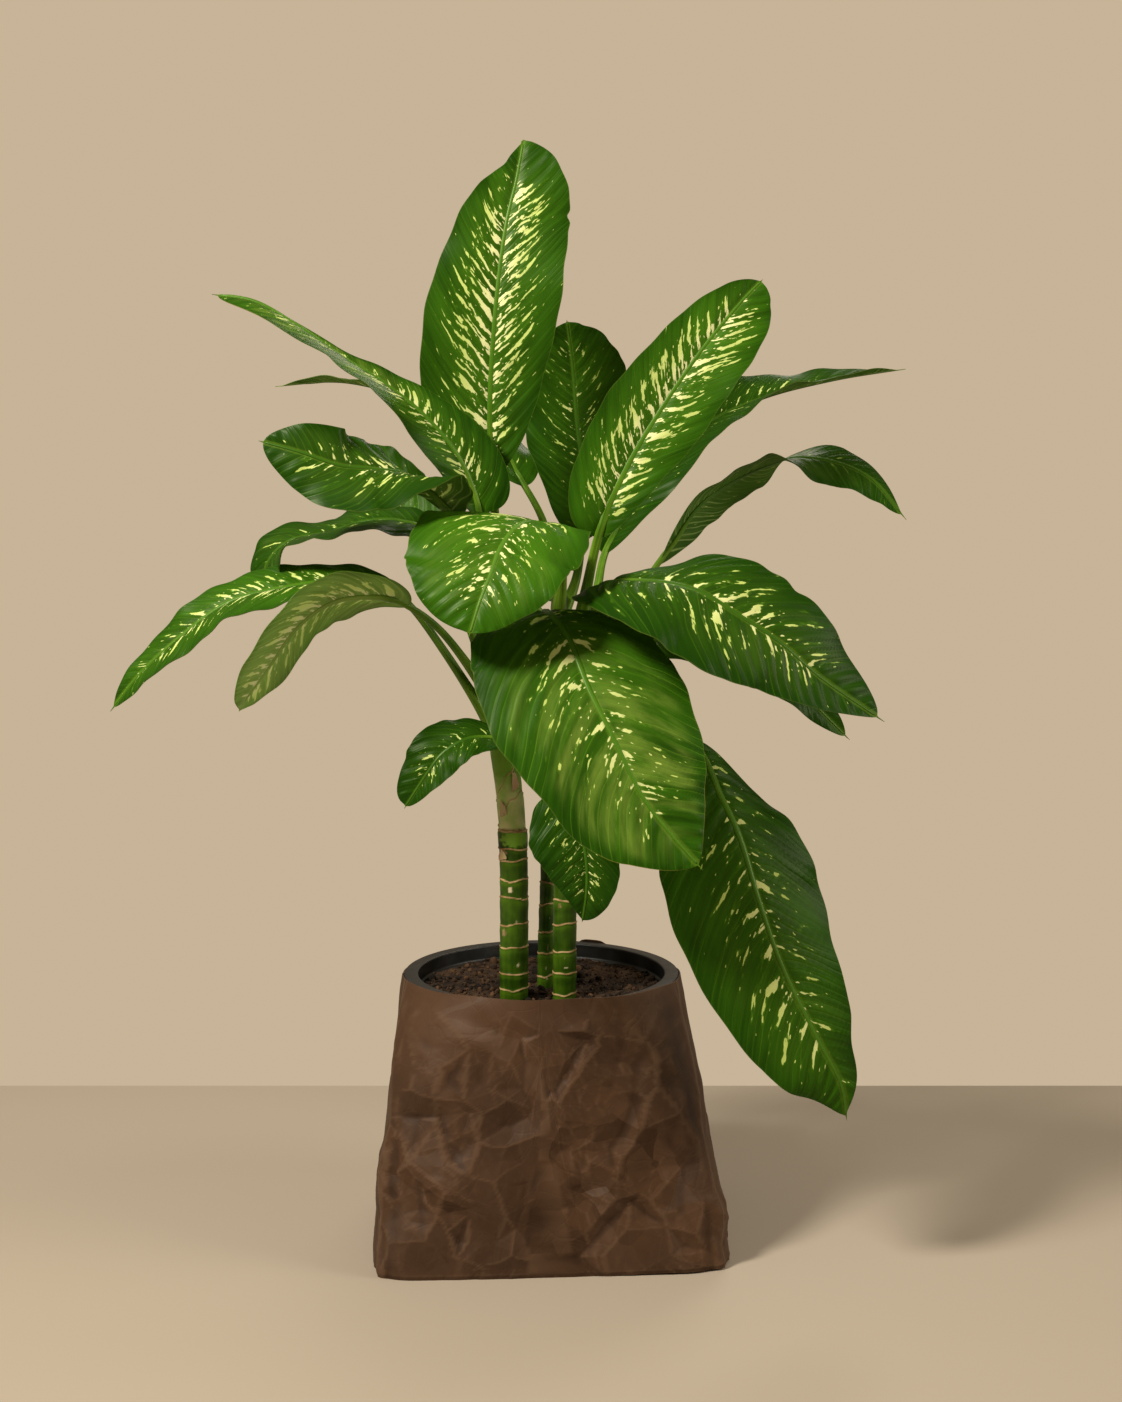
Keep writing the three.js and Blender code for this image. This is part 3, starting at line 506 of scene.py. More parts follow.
def leaf_material(name, under):
    """The blade's top side or underside. Needs the mesh values blade (distance
    along a vein's foot, distance from the midrib, share of the half width), kind
    (share of the length, streaks, yellow) and tone (light, -, -)."""
    s = Shader(name)
    foot, across, out = s.values("blade")
    length, streaks, yellow = s.values("kind")
    light, _, _ = s.values("tone")
    off = s.math("ABSOLUTE", out)
    lateral = s.math("ABSOLUTE", across)

    def on_blade(along_foot, along_vein, shift=0.0, base=foot):
        return s.vector(s.times(base, 1 / along_foot), s.times(across, 1 / along_vein), shift)

    # Side veins: a thin dark groove along each.
    uneven = s.noise(on_blade(26.0, 26.0, 8.8), 1.0, 1.0)
    turn = s.plus(s.times(foot, math.pi / VEIN_SPACING), s.times(uneven, 5.0))
    ridge = s.math("ABSOLUTE", s.math("SINE", turn))
    fade = s.step(s.noise(on_blade(16.0, 40.0, 5.5), 1.0, 1.0), 0.36, 0.60, 0.15, 1.0)
    groove = s.times(s.step(ridge, 0.05, 0.55, 1.0, 0.0), fade)

    # Streaks: beads and threads in rows along the side veins, thick beside the midrib.
    wobble = s.minus(s.noise(on_blade(5.0, 6.0, 2.2), 1.0, 2.0), 0.5)
    drift = s.minus(s.noise(on_blade(30.0, 26.0, 7.7), 1.0, 1.0), 0.5)
    bent = s.plus(foot, s.plus(s.times(wobble, 5.0), s.times(drift, 26.0)))
    cluster = s.noise(on_blade(24.0, 30.0, 3.7), 1.0, 1.0)
    inner = s.step(off, 0.25, 1.02, 1.0, 0.0)
    ends = s.times(s.step(length, -0.02, 0.10), s.step(length, 0.72, 0.98, 1.0, 0.0))
    wanted = s.times(s.times(inner, ends), streaks)
    wanted = s.times(wanted, s.step(cluster, 0.36, 0.62, 0.74, 1.14))
    wanted = s.math("MINIMUM", wanted, 1.0)
    level = s.minus(0.715, s.times(wanted, 0.30))
    ragged = s.times(s.minus(s.noise(on_blade(2.6, 3.4, 4.9), 1.0, 1.0), 0.5), 4.5)
    inside = None
    for spacing, seed, rarer in ((12.5, 0.0, 0.0), (9.0, 5.0, 0.08)):
        bead = s.noise(on_blade(6.0, 16.0, seed), 1.0, 2.0)
        row = s.math("FRACT", s.plus(s.times(bent, 1 / spacing), seed / 10))
        apart = s.times(s.math("ABSOLUTE", s.minus(row, 0.5)), spacing)
        reach = s.times(s.minus(bead, s.plus(level, rarer)), 15.0)
        depth = s.minus(reach, apart)
        inside = depth if inside is None else s.math("MAXIMUM", inside, depth)
    inside = s.plus(inside, ragged)
    streak = s.step(inside, 0.0, 0.35)
    halo = s.step(inside, -1.5, 0.2)
    specks = s.noise(on_blade(2.2, 3.2, 9.1), 1.0, 0.0)
    speck_level = s.minus(0.87, s.times(wanted, 0.14))
    streak = s.math("MAXIMUM", streak, s.step(specks, speck_level, s.plus(speck_level, 0.02)))

    # Greens: cloudy, and drawn out a little along the side veins.
    cloud = s.noise(on_blade(38.0, 38.0, 6.3), 1.0, 3.0)
    fan = s.noise(on_blade(3.4, 60.0, 4.4), 1.0, 2.0)
    if under:
        dark, fresh, pale = (0.036, 0.095, 0.015), (0.290, 0.480, 0.115), (0.470, 0.620, 0.220)
    else:
        dark, fresh, pale = (0.009, 0.041, 0.0016), (0.043, 0.150, 0.004), (0.110, 0.250, 0.014)
    # light: partly each leaf's own tone, partly painted light and shade for how brightly it is
    # lit.
    tone = s.plus(s.times(s.minus(cloud, 0.5), 1.2), s.plus(0.22, s.times(light, 0.8)),
                  clamp=True)
    tone = s.plus(tone, s.times(s.minus(fan, 0.5), 0.8), clamp=True)
    green = s.mix(tone, dark, fresh)
    green = s.mix(s.times(s.step(off, 0.72, 1.0), 0.35), green, dark)
    line = s.times(s.step(ridge, 0.05, 0.28, 1.0, 0.0), fade)
    green = s.mix(s.times(groove, 0.38), green, pale if under else dark)
    lined = s.times(s.step(cloud, 0.35, 0.65, 0.5, 1.0), s.step(yellow, 0.0, 0.6, 0.26, 0.55))
    green = s.mix(s.times(line, lined), green, pale)
    veil = s.times(s.times(inner, ends), s.times(streaks, 0.12))
    green = s.mix(veil, green, pale)
    green = s.mix(s.times(halo, 0.35), green, pale)

    # Old leaves yellow in clouds between the veins, and dry at the very edge.
    old = s.noise(on_blade(15.0, 34.0, 1.9), 1.0, 3.0, 0.6)
    middle = s.times(s.step(length, 0.22, 0.6), s.step(length, 0.8, 0.95, 1.0, 0.0))
    old = s.times(s.step(old, 0.38, 0.72), s.times(middle, yellow))
    old = s.times(old, s.step(off, 0.66, 0.93, 1.0, 0.0))
    green = s.mix(s.times(old, 0.62), green, (0.225, 0.330, 0.050))
    dry = s.times(s.step(off, 0.982, 0.996), s.step(length, 0.72, 0.92))
    dry = s.times(dry, s.step(yellow, 0.3, 0.9))
    green = s.mix(s.times(dry, 0.8), green, (0.34, 0.27, 0.05))

    whiten = s.times(s.step(off, 0.0, 0.45, 1.0, 0.2), streaks, clamp=True)
    cream = s.mix(whiten, (0.46, 0.58, 0.12), (0.80, 0.79, 0.42))
    if under:
        cream = s.mix(whiten, (0.70, 0.84, 0.26), (0.95, 0.94, 0.60))
    shown = 1.0 if not under else 0.9
    color = s.mix(s.times(streak, shown), green, cream)

    # A thin pale line runs round the edge, and the blade is paler at the midrib.
    color = s.mix(s.step(off, 0.984, 0.997, 0.0, 0.35), color, (0.13, 0.17, 0.03))
    rib = pale if under else (0.150, 0.260, 0.022)
    color = s.mix(s.step(lateral, 1.2, 3.0, 0.36, 0.0), color, rib)

    grain = s.noise(s.place(), 700.0, 2.0)
    height = s.plus(s.times(s.times(s.step(ridge, 0.0, 0.8), fade), 0.5), s.times(grain, 0.12))
    height = s.plus(height, s.times(fan, 0.6))
    rough = s.step(cloud, 0.3, 0.7, 0.32, 0.44) if not under else 0.6
    through = s.mix(0.6 if under else 0.35, (0.55, 0.85, 0.06), color)
    return s.surface(color, rough, s.bump(height, 0.40, 0.0006), 0.12 if under else 0.17, 1.35,
                     (0.80, 0.92, 0.62), 0.40 if under else 0.20, through)


def stem_material(name, deep, fresh):
    """Petioles, midribs: lengthwise fibres. Needs the mesh values stem (length in
    millimetres, turn from 0 to 1, 1 on the blade) and tone (light, -, -)."""
    s = Shader(name)
    length, turn, on_blade = s.values("stem")
    light, _, _ = s.values("tone")
    fibres = s.noise(s.vector(s.times(length, 1 / 60), s.times(turn, 26)), 1.0, 2.0)
    cloud = s.noise(s.place(), 45.0, 2.0)
    tone = s.plus(s.times(fibres, 0.6), s.times(cloud, 0.5))
    color = s.mix(s.step(tone, 0.3, 0.8), deep, fresh)
    # The midrib follows the leaf's light value: partly its own tone, partly painted light and
    # shade.
    rib = s.mix(s.step(light, -0.6, 0.2), (0.020, 0.075, 0.003), (0.050, 0.145, 0.007))
    rib = s.mix(s.step(light, 0.3, 1.0), rib, (0.300, 0.440, 0.100))
    color = s.mix(s.times(on_blade, 0.8), color, rib)
    return s.surface(color, 0.36, s.bump(fibres, 0.25, 0.0005), 0.28, 1.42, (0.85, 0.95, 0.65))


def cane_material():
    """Canes. Needs the mesh values cane (scar, share of the internode, pale part)
    and mark (pale spot, brown patch, fresh growth)."""
    s = Shader("cane_skin")
    scar, share, pale = s.values("cane")
    spot, brown, fresh_growth = s.values("mark")
    place = s.place()
    cloud = s.noise(place, 60.0, 3.0)
    stretched = s.node("ShaderNodeMapping", {"Vector": place, "Scale": (260.0, 260.0, 18.0)})
    fibres = s.noise(stretched.outputs[0], 1.0, 2.0)
    deep, fresh = (0.010, 0.032, 0.0010), (0.050, 0.108, 0.004)
    tone = s.plus(s.times(cloud, 0.75), s.times(fibres, 0.30))
    tone = s.plus(tone, s.times(s.step(share, 0.5, 1.0), 0.20))
    color = s.mix(s.step(tone, 0.32, 0.85), deep, fresh)
    color = s.mix(s.step(share, 0.0, 0.12, 0.55, 0.0), color, deep)
    whitish = s.mix(s.step(cloud, 0.32, 0.68), (0.300, 0.440, 0.105), (0.550, 0.530, 0.270))
    color = s.mix(s.times(pale, 0.90), color, whitish)
    color = s.mix(fresh_growth, color, (0.130, 0.260, 0.022))
    dry = s.mix(s.step(fibres, 0.35, 0.65), (0.150, 0.075, 0.040), (0.330, 0.200, 0.110))
    color = s.mix(brown, color, dry)
    cork = s.mix(s.step(cloud, 0.35, 0.65), (0.20, 0.115, 0.045), (0.46, 0.31, 0.155))
    ragged = s.plus(scar, s.times(s.minus(fibres, 0.5), 0.45))
    color = s.mix(s.step(ragged, 0.34, 0.62), color, cork)
    dots = s.node("ShaderNodeTexVoronoi", {"Vector": place, "Scale": 110.0, "Randomness": 1.0})
    dot = s.times(s.step(dots.outputs["Distance"], 0.08, 0.13, 1.0, 0.0), s.step(s.noise(place,
                                                                                         40.0,
                                                                                         0.0),
                                                                                 0.62, 0.66))
    color = s.mix(s.math("MAXIMUM", spot, s.times(dot, 0.7)), color, (0.50, 0.42, 0.27))
    relief = s.plus(s.times(fibres, 0.35), s.times(spot, 0.9))
    dull = s.math("MAXIMUM", s.step(scar, 0.2, 0.7), brown)
    return s.surface(color, s.step(dull, 0.0, 1.0, 0.36, 0.72), s.bump(relief, 0.35, 0.0005),
                     0.30, 1.42, (0.85, 0.95, 0.65))


def husk_material():
    """Dry sheath scraps: thin, papery, pale brown with pinkish edges."""
    s = Shader("dry_sheath")
    place = s.place()
    stretched = s.node("ShaderNodeMapping", {"Vector": place, "Scale": (500.0, 500.0, 30.0)})
    fibres = s.noise(stretched.outputs[0], 1.0, 3.0)
    cloud = s.noise(place, 110.0, 3.0)
    color = s.mix(s.step(cloud, 0.38, 0.62), (0.46, 0.38, 0.180), (0.50, 0.300, 0.180))
    color = s.mix(s.times(fibres, 0.4), color, (0.40, 0.28, 0.16))
    return s.surface(color, 0.62, s.bump(fibres, 0.5, 0.0006), thin=0.12,
                     thin_color=(0.5, 0.36, 0.16))


def pot_material():
    s = Shader("black_plastic")
    place = s.place()
    dust = s.noise(place, 35.0, 4.0, 0.6)
    grain = s.noise(place, 1400.0, 1.0)
    color = s.mix(s.step(dust, 0.45, 0.75), (0.005, 0.006, 0.006), (0.017, 0.016, 0.015))
    return s.surface(color, s.step(dust, 0.3, 0.7, 0.34, 0.52), s.bump(grain, 0.12, 0.0003), 0.3)


def soil_material():
    """Potting mix. Needs the mesh value crumb (shade, -, -)."""
    s = Shader("potting_mix")
    shade, _, _ = s.values("crumb")
    place = s.place()
    lumps = s.noise(place, 160.0, 5.0, 0.65)
    fine = s.noise(place, 900.0, 4.0, 0.7)
    patch = s.noise(place, 14.0, 2.0)
    tone = s.plus(s.times(lumps, 0.7), s.times(fine, 0.4))
    tone = s.plus(tone, shade)
    color = s.mix(s.step(tone, 0.42, 0.95), (0.007, 0.0038, 0.002), (0.090, 0.046, 0.021))
    color = s.mix(s.times(s.step(patch, 0.5, 0.65), 0.3), color, (0.125, 0.066, 0.032))
    relief = s.plus(lumps, s.times(fine, 0.5))
    return s.surface(color, 0.93, s.bump(relief, 0.9, 0.002), 0.2)


def bag_material():
    """Creased kraft paper. Needs the mesh values crease (painted highlight on the ridges,
    painted shade in the hollows, painted shade on the lifted back edge) and corner (how far
    past a corner crease, in units of CORNER_UNIT, -, -)."""
    s = Shader("kraft_paper")
    ridge_highlight, depth, dark = s.values("crease")
    corner, _, _ = s.values("corner")
    place = s.place()
    cloud = s.noise(place, 9.0, 4.0, 0.6)
    fibre_map = s.node("ShaderNodeMapping", {"Vector": place, "Scale": (900.0, 900.0, 260.0)})
    fibres = s.noise(fibre_map.outputs[0], 1.0, 3.0, 0.6)
    warped = s.node("ShaderNodeMix", {0: 0.05}, data_type="VECTOR")
    s.feed(warped.inputs[4], place)
    warp = s.node("ShaderNodeTexNoise", {"Vector": place, "Scale": 14.0, "Detail": 2.0})
    s.feed(warped.inputs[5], warp.outputs["Color"])
    crackle = s.cells(warped.outputs[1], 34.0)
    crackle_big = s.cells(warped.outputs[1], 15.0)
    # Small flat facets between the creases: each leans its own way.
    height = s.node("ShaderNodeSeparateXYZ", {0: place}).outputs[2]
    busy = s.times(s.step(s.noise(place, 9.0, 1.0), 0.40, 0.58, 0.3, 1.0), s.step(height, 0.10,
                                                                                  0.20, 1.0,
                                                                                  0.35))
    lean = s.node("ShaderNodeNewGeometry").outputs["Normal"]
    for scale, amount in ((19.0, 0.50), (47.0, 0.36)):
        tint = s.cells(warped.outputs[1], scale, "F1", "Color")
        share = s.times(busy, amount)
        tilt = s.vector_math("MULTIPLY", s.vector_math("SUBTRACT", tint, (0.5, 0.5, 0.5)),
                             s.vector(share, share, share))
        lean = s.vector_math("ADD", lean, tilt)
    lean = s.vector_math("NORMALIZE", lean)

    # Painted highlight: light lines along the fine crinkles.
    lines = s.plus(s.step(crackle, 0.0, 0.016, 0.7, 0.0), s.step(crackle_big, 0.0, 0.010, 0.9,
                                                                 0.0))
    patchy = s.step(s.noise(place, 11.0, 2.0), 0.46, 0.64)
    lines = s.times(lines, patchy)
    # Painted highlight on the crease ridges and along the crinkle lines.
    painted_highlight = s.plus(s.times(lines, 0.35), s.times(ridge_highlight, 0.8), clamp=True)
    color = s.mix(s.step(cloud, 0.32, 0.7), (0.034, 0.0158, 0.0070), (0.060, 0.0284, 0.0124))
    color = s.mix(s.times(fibres, 0.25), color, (0.085, 0.042, 0.020))
    color = s.mix(s.times(painted_highlight, 0.34), color, (0.150, 0.088, 0.050))
    # Painted shade in the hollows of the creases.
    color = s.mix(s.step(depth, 0.15, 0.9, 0.0, 0.5), color, (0.020, 0.009, 0.004))
    # Painted shade along the fold line beside each corner crease, and painted light on the strip
    # of panel past it.
    beyond = s.times(corner, 12.0)
    fold = s.math("ABSOLUTE", s.minus(beyond, 1.4))
    dark = s.math("MAXIMUM", dark, s.step(fold, 0.35, 1.0, 1.0, 0.0))
    lit = s.times(s.step(beyond, 1.8, 2.6), s.step(beyond, 4.0, 9.0, 1.0, 0.0))
    color = s.mix(s.times(lit, 0.30), color, (0.170, 0.100, 0.058))
    # Painted shade: near black on the corner fold lines and on the lifted back edge.
    color = s.mix(s.times(dark, 0.85), color, (0.008, 0.005, 0.003))
    relief = s.plus(s.times(s.step(crackle, 0.0, 0.03), 0.30), s.times(fibres, 0.30))
    relief = s.plus(relief, s.times(s.step(crackle_big, 0.0, 0.03), 0.40))
    relief = s.plus(relief, s.times(cloud, 0.8))
    return s.surface(color, s.step(painted_highlight, 0.0, 1.0, 0.6, 0.75),
                     s.bump(relief, 0.35, 0.0007, lean), 0.2)


def floor_material():
    s = Shader("pale_floor")
    place = s.place()
    cloud = s.noise(place, 2.2, 4.0, 0.6)
    color = s.mix(cloud, (0.325, 0.276, 0.219), (0.382, 0.326, 0.262))
    return s.surface(color, 0.55)


BLADE_TOP = leaf_material("blade_top", under=False)
BLADE_UNDER = leaf_material("blade_under", under=True)
STEM = stem_material("petiole", (0.022, 0.078, 0.003), (0.120, 0.230, 0.012))
CANE_SKIN = cane_material()
HUSK = husk_material()


# ---- Canes ---------------------------------------------------------------------

CANE_SIDES = 72
CANE_STEP = 0.8


def cane_radius(cane, place):
    return along(cane["radii"], place / (len(cane["path"]) - 1))


def scar_line(number, angle):
    """Leaf scars run round the cane in a slanting line that dips at one place."""
    slant = 1.2 * math.sin(number * 2.4 + 0.7) * np.cos(angle - number * 1.9)
    dip_at = -TAU / 4 + 0.9 * math.sin(number * 3.7)
    apart = np.abs((angle - dip_at + math.pi) % TAU - math.pi)
    dip = 2.4 * (0.5 + 0.5 * math.sin(number * 5.3)) * np.clip(1 - apart / 1.1, 0, 1)
    return slant - dip + 0.3 * np.sin(5 * angle + number * 5.1)


def sheath_line(points, angle):
    turns = (np.degrees(angle) + 200) % 360 - 200
    return np.interp(turns, [p[0] for p in points], [p[1] for p in points])


def make_cane(cane):
    path, last = cane["path"], len(cane["path"]) - 1
    length = path[-1][2] - path[0][2]
    place = np.linspace(0, last, int(length / CANE_STEP))
    angle = np.arange(CANE_SIDES) / CANE_SIDES * TAU
    centre = on_curve(path, place)
    direction = tangent_at(path, place)
    side = unit(np.array([1.0, 0, 0]) - direction * direction[:, :1])
    other = np.cross(direction, side)
    height = np.repeat(centre[:, 2:], CANE_SIDES, 1)
    around = np.repeat(angle[None], len(place), 0)

    lines = [z + scar_line(k, around) for k, z in enumerate(cane["scars"])]
    lines += [sheath_line(points, around) + 0.8 * np.sin(7 * around) for points in cane["sheaths"]]
    apart = height[..., None] - np.stack(lines, -1)
    nearest = np.take_along_axis(apart, np.abs(apart).argmin(-1)[..., None], -1)[..., 0]
    below = np.where(apart >= 0, apart, np.inf).min(-1)
    above = np.where(apart < 0, -apart, np.inf).min(-1)
    below = np.where(np.isfinite(below), below, 12)
    above = np.where(np.isfinite(above), above, 12)
    share = below / (below + above)

    lip = 0.62 * np.exp(-(nearest / 0.75) ** 2)
    under_lip = -0.25 * np.exp(-((nearest + 1.8) / 1.3) ** 2)
    round_map = np.stack([9 * np.cos(around), 9 * np.sin(around), height], -1)
    lumps = 0.22 * noise_at(round_map, 8.0, len(path)).reshape(height.shape)
    radius = cane_radius(cane, place)[:, None] + lip + under_lip + lumps - 0.2
    radius += 0.35 * np.sin(np.pi * share) + 0.5 * smooth_step(0.4, 1.0, share) - 0.25
    low, high = cane["bulge"]
    radius += 0.9 * smooth_step(low - 2, low + 2, height) * smooth_step(high + 2, high - 2, height)
    grid = (centre[:, None] + side[:, None] * (radius * np.cos(around))[..., None]
            + other[:, None] * (radius * np.sin(around))[..., None])

    scar = np.exp(-(nearest / 0.75) ** 2)
    mark = np.zeros((*height.shape, 3))
    rough = noise_at(round_map, 2.2, 9.0).reshape(height.shape)
    for turned, z, half_across, half_high, channel, strength in cane["marks"]:
        off = (around - math.radians(turned) + math.pi) % TAU - math.pi
        reach = np.hypot(off * 11 / half_across, (height - z) / half_high)
        reach = reach + 0.35 * min(1, 8 / half_high) * rough
        mark[..., channel] = np.maximum(mark[..., channel],
                                        strength * smooth_step(1.1, 0.75, reach))
    low, high = cane["pale"]
    pale = smooth_step(low - 2, low + 2, height) * smooth_step(high + 4, high - 4, height)
    values = np.stack([scar, share, pale], -1)

    build = Build(("cane", "mark"))
    index = build.add_grid(grid, 0, around=True, flip=True, cane=values, mark=mark)
    build.add_cap(index[0], centre[0], 0, flip=True, cane=values[0, 0])
    build.add_cap(index[-1], centre[-1] + direction[-1] * 2, 0, cane=values[-1, 0])
    if cane["name"] == "cane_left":
        add_husk(build, cane, (331.5, 340), (-2.75, -2.0), 0.5)
        add_husk(build, cane, (369, 381), (-2.35, -1.85), 1.7)
        add_husk(build, cane, (391, 407), (-1.30, -0.75), 2.9)
    piece = build.object(cane["name"] + "_skin", [CANE_SKIN, HUSK])
    place_piece(piece, "cane", cane["name"])


def add_husk(build, cane, heights, angles, seed):
    """A scrap of dry leaf sheath on part of the cane, with a torn upper edge."""
    rows, columns = 16, 26
    t = np.linspace(0, 1, rows + 1)[:, None]
    turn = np.linspace(0, 1, columns + 1)[None]
    angle = mix(angles[0], angles[1], turn)
    torn = 0.25 + 0.75 * np.sin(math.pi * np.clip(turn * 0.9 + 0.08, 0, 1)) ** 1.4
    torn = torn * (1 + 0.10 * np.sin(angle * 23 + seed) + 0.06 * np.sin(angle * 51 + seed * 3))
    low, high = heights
    slope = (high - low) * 0.25 * (turn - 0.5)
    height = low + slope + (high - low) * t * torn
    fine_place = np.linspace(0, len(cane["path"]) - 1, 400)
    axis = on_curve(cane["path"], fine_place)
    place = np.interp(height, axis[:, 2], fine_place)
    centre = np.stack([np.interp(height, axis[:, 2], axis[:, k]) for k in range(2)], -1)
    edge = np.abs(2 * turn - 1) ** 4
    proud = 0.75 + 0.7 * t ** 2 * torn + 0.5 * edge + 0.2 * np.sin(angle * 9 + seed)

    def shell(out):
        radius = cane_radius(cane, place) + proud + out
        return np.stack([centre[..., 0] + radius * np.cos(angle),
                         centre[..., 1] + radius * np.sin(angle), height], -1)
    outside = build.add_grid(shell(0.0), 1, flip=True)
    inside = build.add_grid(shell(-0.3), 1)
    close_sheets(build, outside, inside, 1)


def close_sheets(build, front, back, material):
    """Joins the edges of two sheets of the same shape into one closed body."""
    def border(index):
        return np.concatenate([index[:-1, 0], index[-1, :-1], index[:0:-1, -1], index[0, :0:-1]])
    a, b = border(front), border(back)
    build.add_faces(np.stack([a, b, np.roll(b, -1), np.roll(a, -1)], -1), material)


# ---- Leaves --------------------------------------------------------------------

BLADE_ROWS = 120
BLADE_COLUMNS = 20
BLADE_THICKNESS = 0.55
LOBE = 9.0
LOBE_LENGTH = 0.22
PETIOLE_TAPER = 0.72
TIP_HALF_WIDTH = 0.05


def outline_at(exponents, share):
    base, tip = exponents
    peak = base / (base + tip)
    top = peak ** base * (1 - peak) ** tip
    share = np.clip(share, 1e-6, 1 - 1e-6)
    return share ** base * (1 - share) ** tip / top


def half_width_at(leaf, hand, share, number):
    """Width of one side in millimetres, with the dents and waves of its outline
    and a short point at the tip."""
    point = leaf["point"]
    inner = np.clip(share / (1 - point), 0, 1)
    width = leaf["half_width"][hand] * outline_at(leaf["outline"][hand], inner)
    sign = 1 if hand else -1
    for side, place, depth, length in leaf["dents"]:
        if side == sign:
            width = width * (1 - depth * np.exp(-((share - place) / length) ** 2))
    wander = 0.018 * np.sin(TAU * (3.1 * share + 0.13 * number)) \
        + 0.010 * np.sin(TAU * (8.3 * share + 0.31 * number + 0.5 * hand))
    width = width * (1 + wander)
    narrow = 1.6 * np.clip((1 - share) / (3 * point), 0, 1)
    return np.maximum(width, np.where(share > 0.5, np.maximum(narrow, TIP_HALF_WIDTH), 1.5))


def leaf_axes(leaf, place, face):
    direction = tangent_at(leaf["path"], place)
    up = unit(face - (face * direction).sum(-1, keepdims=True) * direction)
    return direction, up, np.cross(direction, up)


def blade_grid(leaf, number):
    """Middle surface of the blade: points, normals and the values of each point."""
    last = len(leaf["path"]) - 1
    even = np.linspace(0, 1, BLADE_ROWS + 1)
    share = even - 0.6 * np.sin(TAU * even) / TAU
    place = mix(leaf["base"], last, share)
    middle = on_curve(leaf["path"], place)
    direction, up, right = leaf_axes(leaf, place, along(leaf["faces"], share))
    steps = np.linalg.norm(np.diff(middle, axis=0), axis=1)
    travelled = np.concatenate([[0], np.cumsum(steps)])

    column = np.arange(-BLADE_COLUMNS, BLADE_COLUMNS + 1)
    sign = np.where(column < 0, -1.0, 1.0)[None]
    out = (np.abs(column) / BLADE_COLUMNS)[None] ** 1.2
    left = half_width_at(leaf, 0, share, number)
    right_width = half_width_at(leaf, 1, share, number)
    width = np.where(sign < 0, left[:, None], right_width[:, None])
    fold = np.radians(np.where(sign < 0, leaf["fold"][0], leaf["fold"][1]))
    curl = math.radians(leaf["curl"])
    turned = fold + curl * out
    across = width / curl * (np.sin(turned) - np.sin(fold))
    rise = width / curl * (np.cos(fold) - np.cos(turned))

    height, count, phase = leaf["waves"]
    slender = np.minimum(1, width / max(leaf["half_width"]) * 1.6)
    wave = np.sin(TAU * count * share[:, None] + phase + np.where(sign < 0, 2.3, 0))
    wave = wave + 0.35 * np.sin(TAU * count * 2.7 * share[:, None] + 2 * phase
                                + np.where(sign < 0, 0.9, 0))
    rise = rise + height * slender * out ** 2.2 * wave

    lean_base, lean_tip = leaf["veins"]
    lean = mix(lean_base, lean_tip, share)[:, None]
    distance = out * width
    widest = max(leaf["half_width"])
    foot = travelled[:, None] - distance * lean - 0.35 * distance ** 2 / widest
    warped = foot + 5.0 * np.sin(foot / 23.0 + number) + 2.0 * np.sin(distance / 9.0 + number)
    pleats = 0.08 * np.cos(TAU * foot / VEIN_SPACING) \
        + leaf["pleats"] * np.cos(TAU * warped / PLEAT_SPACING)
    pleats = pleats * smooth_step(0, 8, distance) * smooth_step(0, 6, width - distance)
    rise = rise - pleats + 0.9 * smooth_step(0, 7, distance) - 0.9

    lobe = LOBE * np.clip(1 - share / LOBE_LENGTH, 0, 1)[:, None] ** 2 * out ** 1.5
    grid = (middle[:, None] + right[:, None] * (sign * across)[..., None]
            + up[:, None] * rise[..., None] - direction[:, None] * lobe[..., None])
    along_rows = np.gradient(grid, axis=0)
    along_columns = np.gradient(grid, axis=1)
    normal = unit(np.cross(along_columns, along_rows))
    normal *= np.sign((normal * up[:, None]).sum(-1, keepdims=True) + 1e-9)
    seed_shift = 400.0 * number
    detail = leaf["detail"]
    blade = np.stack([foot * detail + seed_shift, sign * distance * detail,
                      sign * np.broadcast_to(out, distance.shape)], -1)
    kind = np.stack([np.broadcast_to(share[:, None], distance.shape),
                     np.full(distance.shape, leaf["streaks"]),
                     np.full(distance.shape, leaf["yellow"])], -1)
    tone = np.zeros((*distance.shape, 3))
    tone[..., 0] = leaf["light"]
    return grid, normal, dict(blade=blade, kind=kind, tone=tone)


def cane_exit(leaf):
    """Where along its path a petiole comes out of its cane, 2 mm under the skin."""
    cane = next(c for c in CANES if c["name"] == leaf["cane"])
    axis_place = np.linspace(0, len(cane["path"]) - 1, 300)
    axis = on_curve(cane["path"], axis_place)
    radius = cane_radius(cane, axis_place)
    for place in np.linspace(0, leaf["base"], 120):
        point = on_curve(leaf["path"], place)[0]
        apart = np.linalg.norm(axis - point, axis=1)
        k = apart.argmin()
        if apart[k] > radius[k] - 2:
            return place
    return 0.0


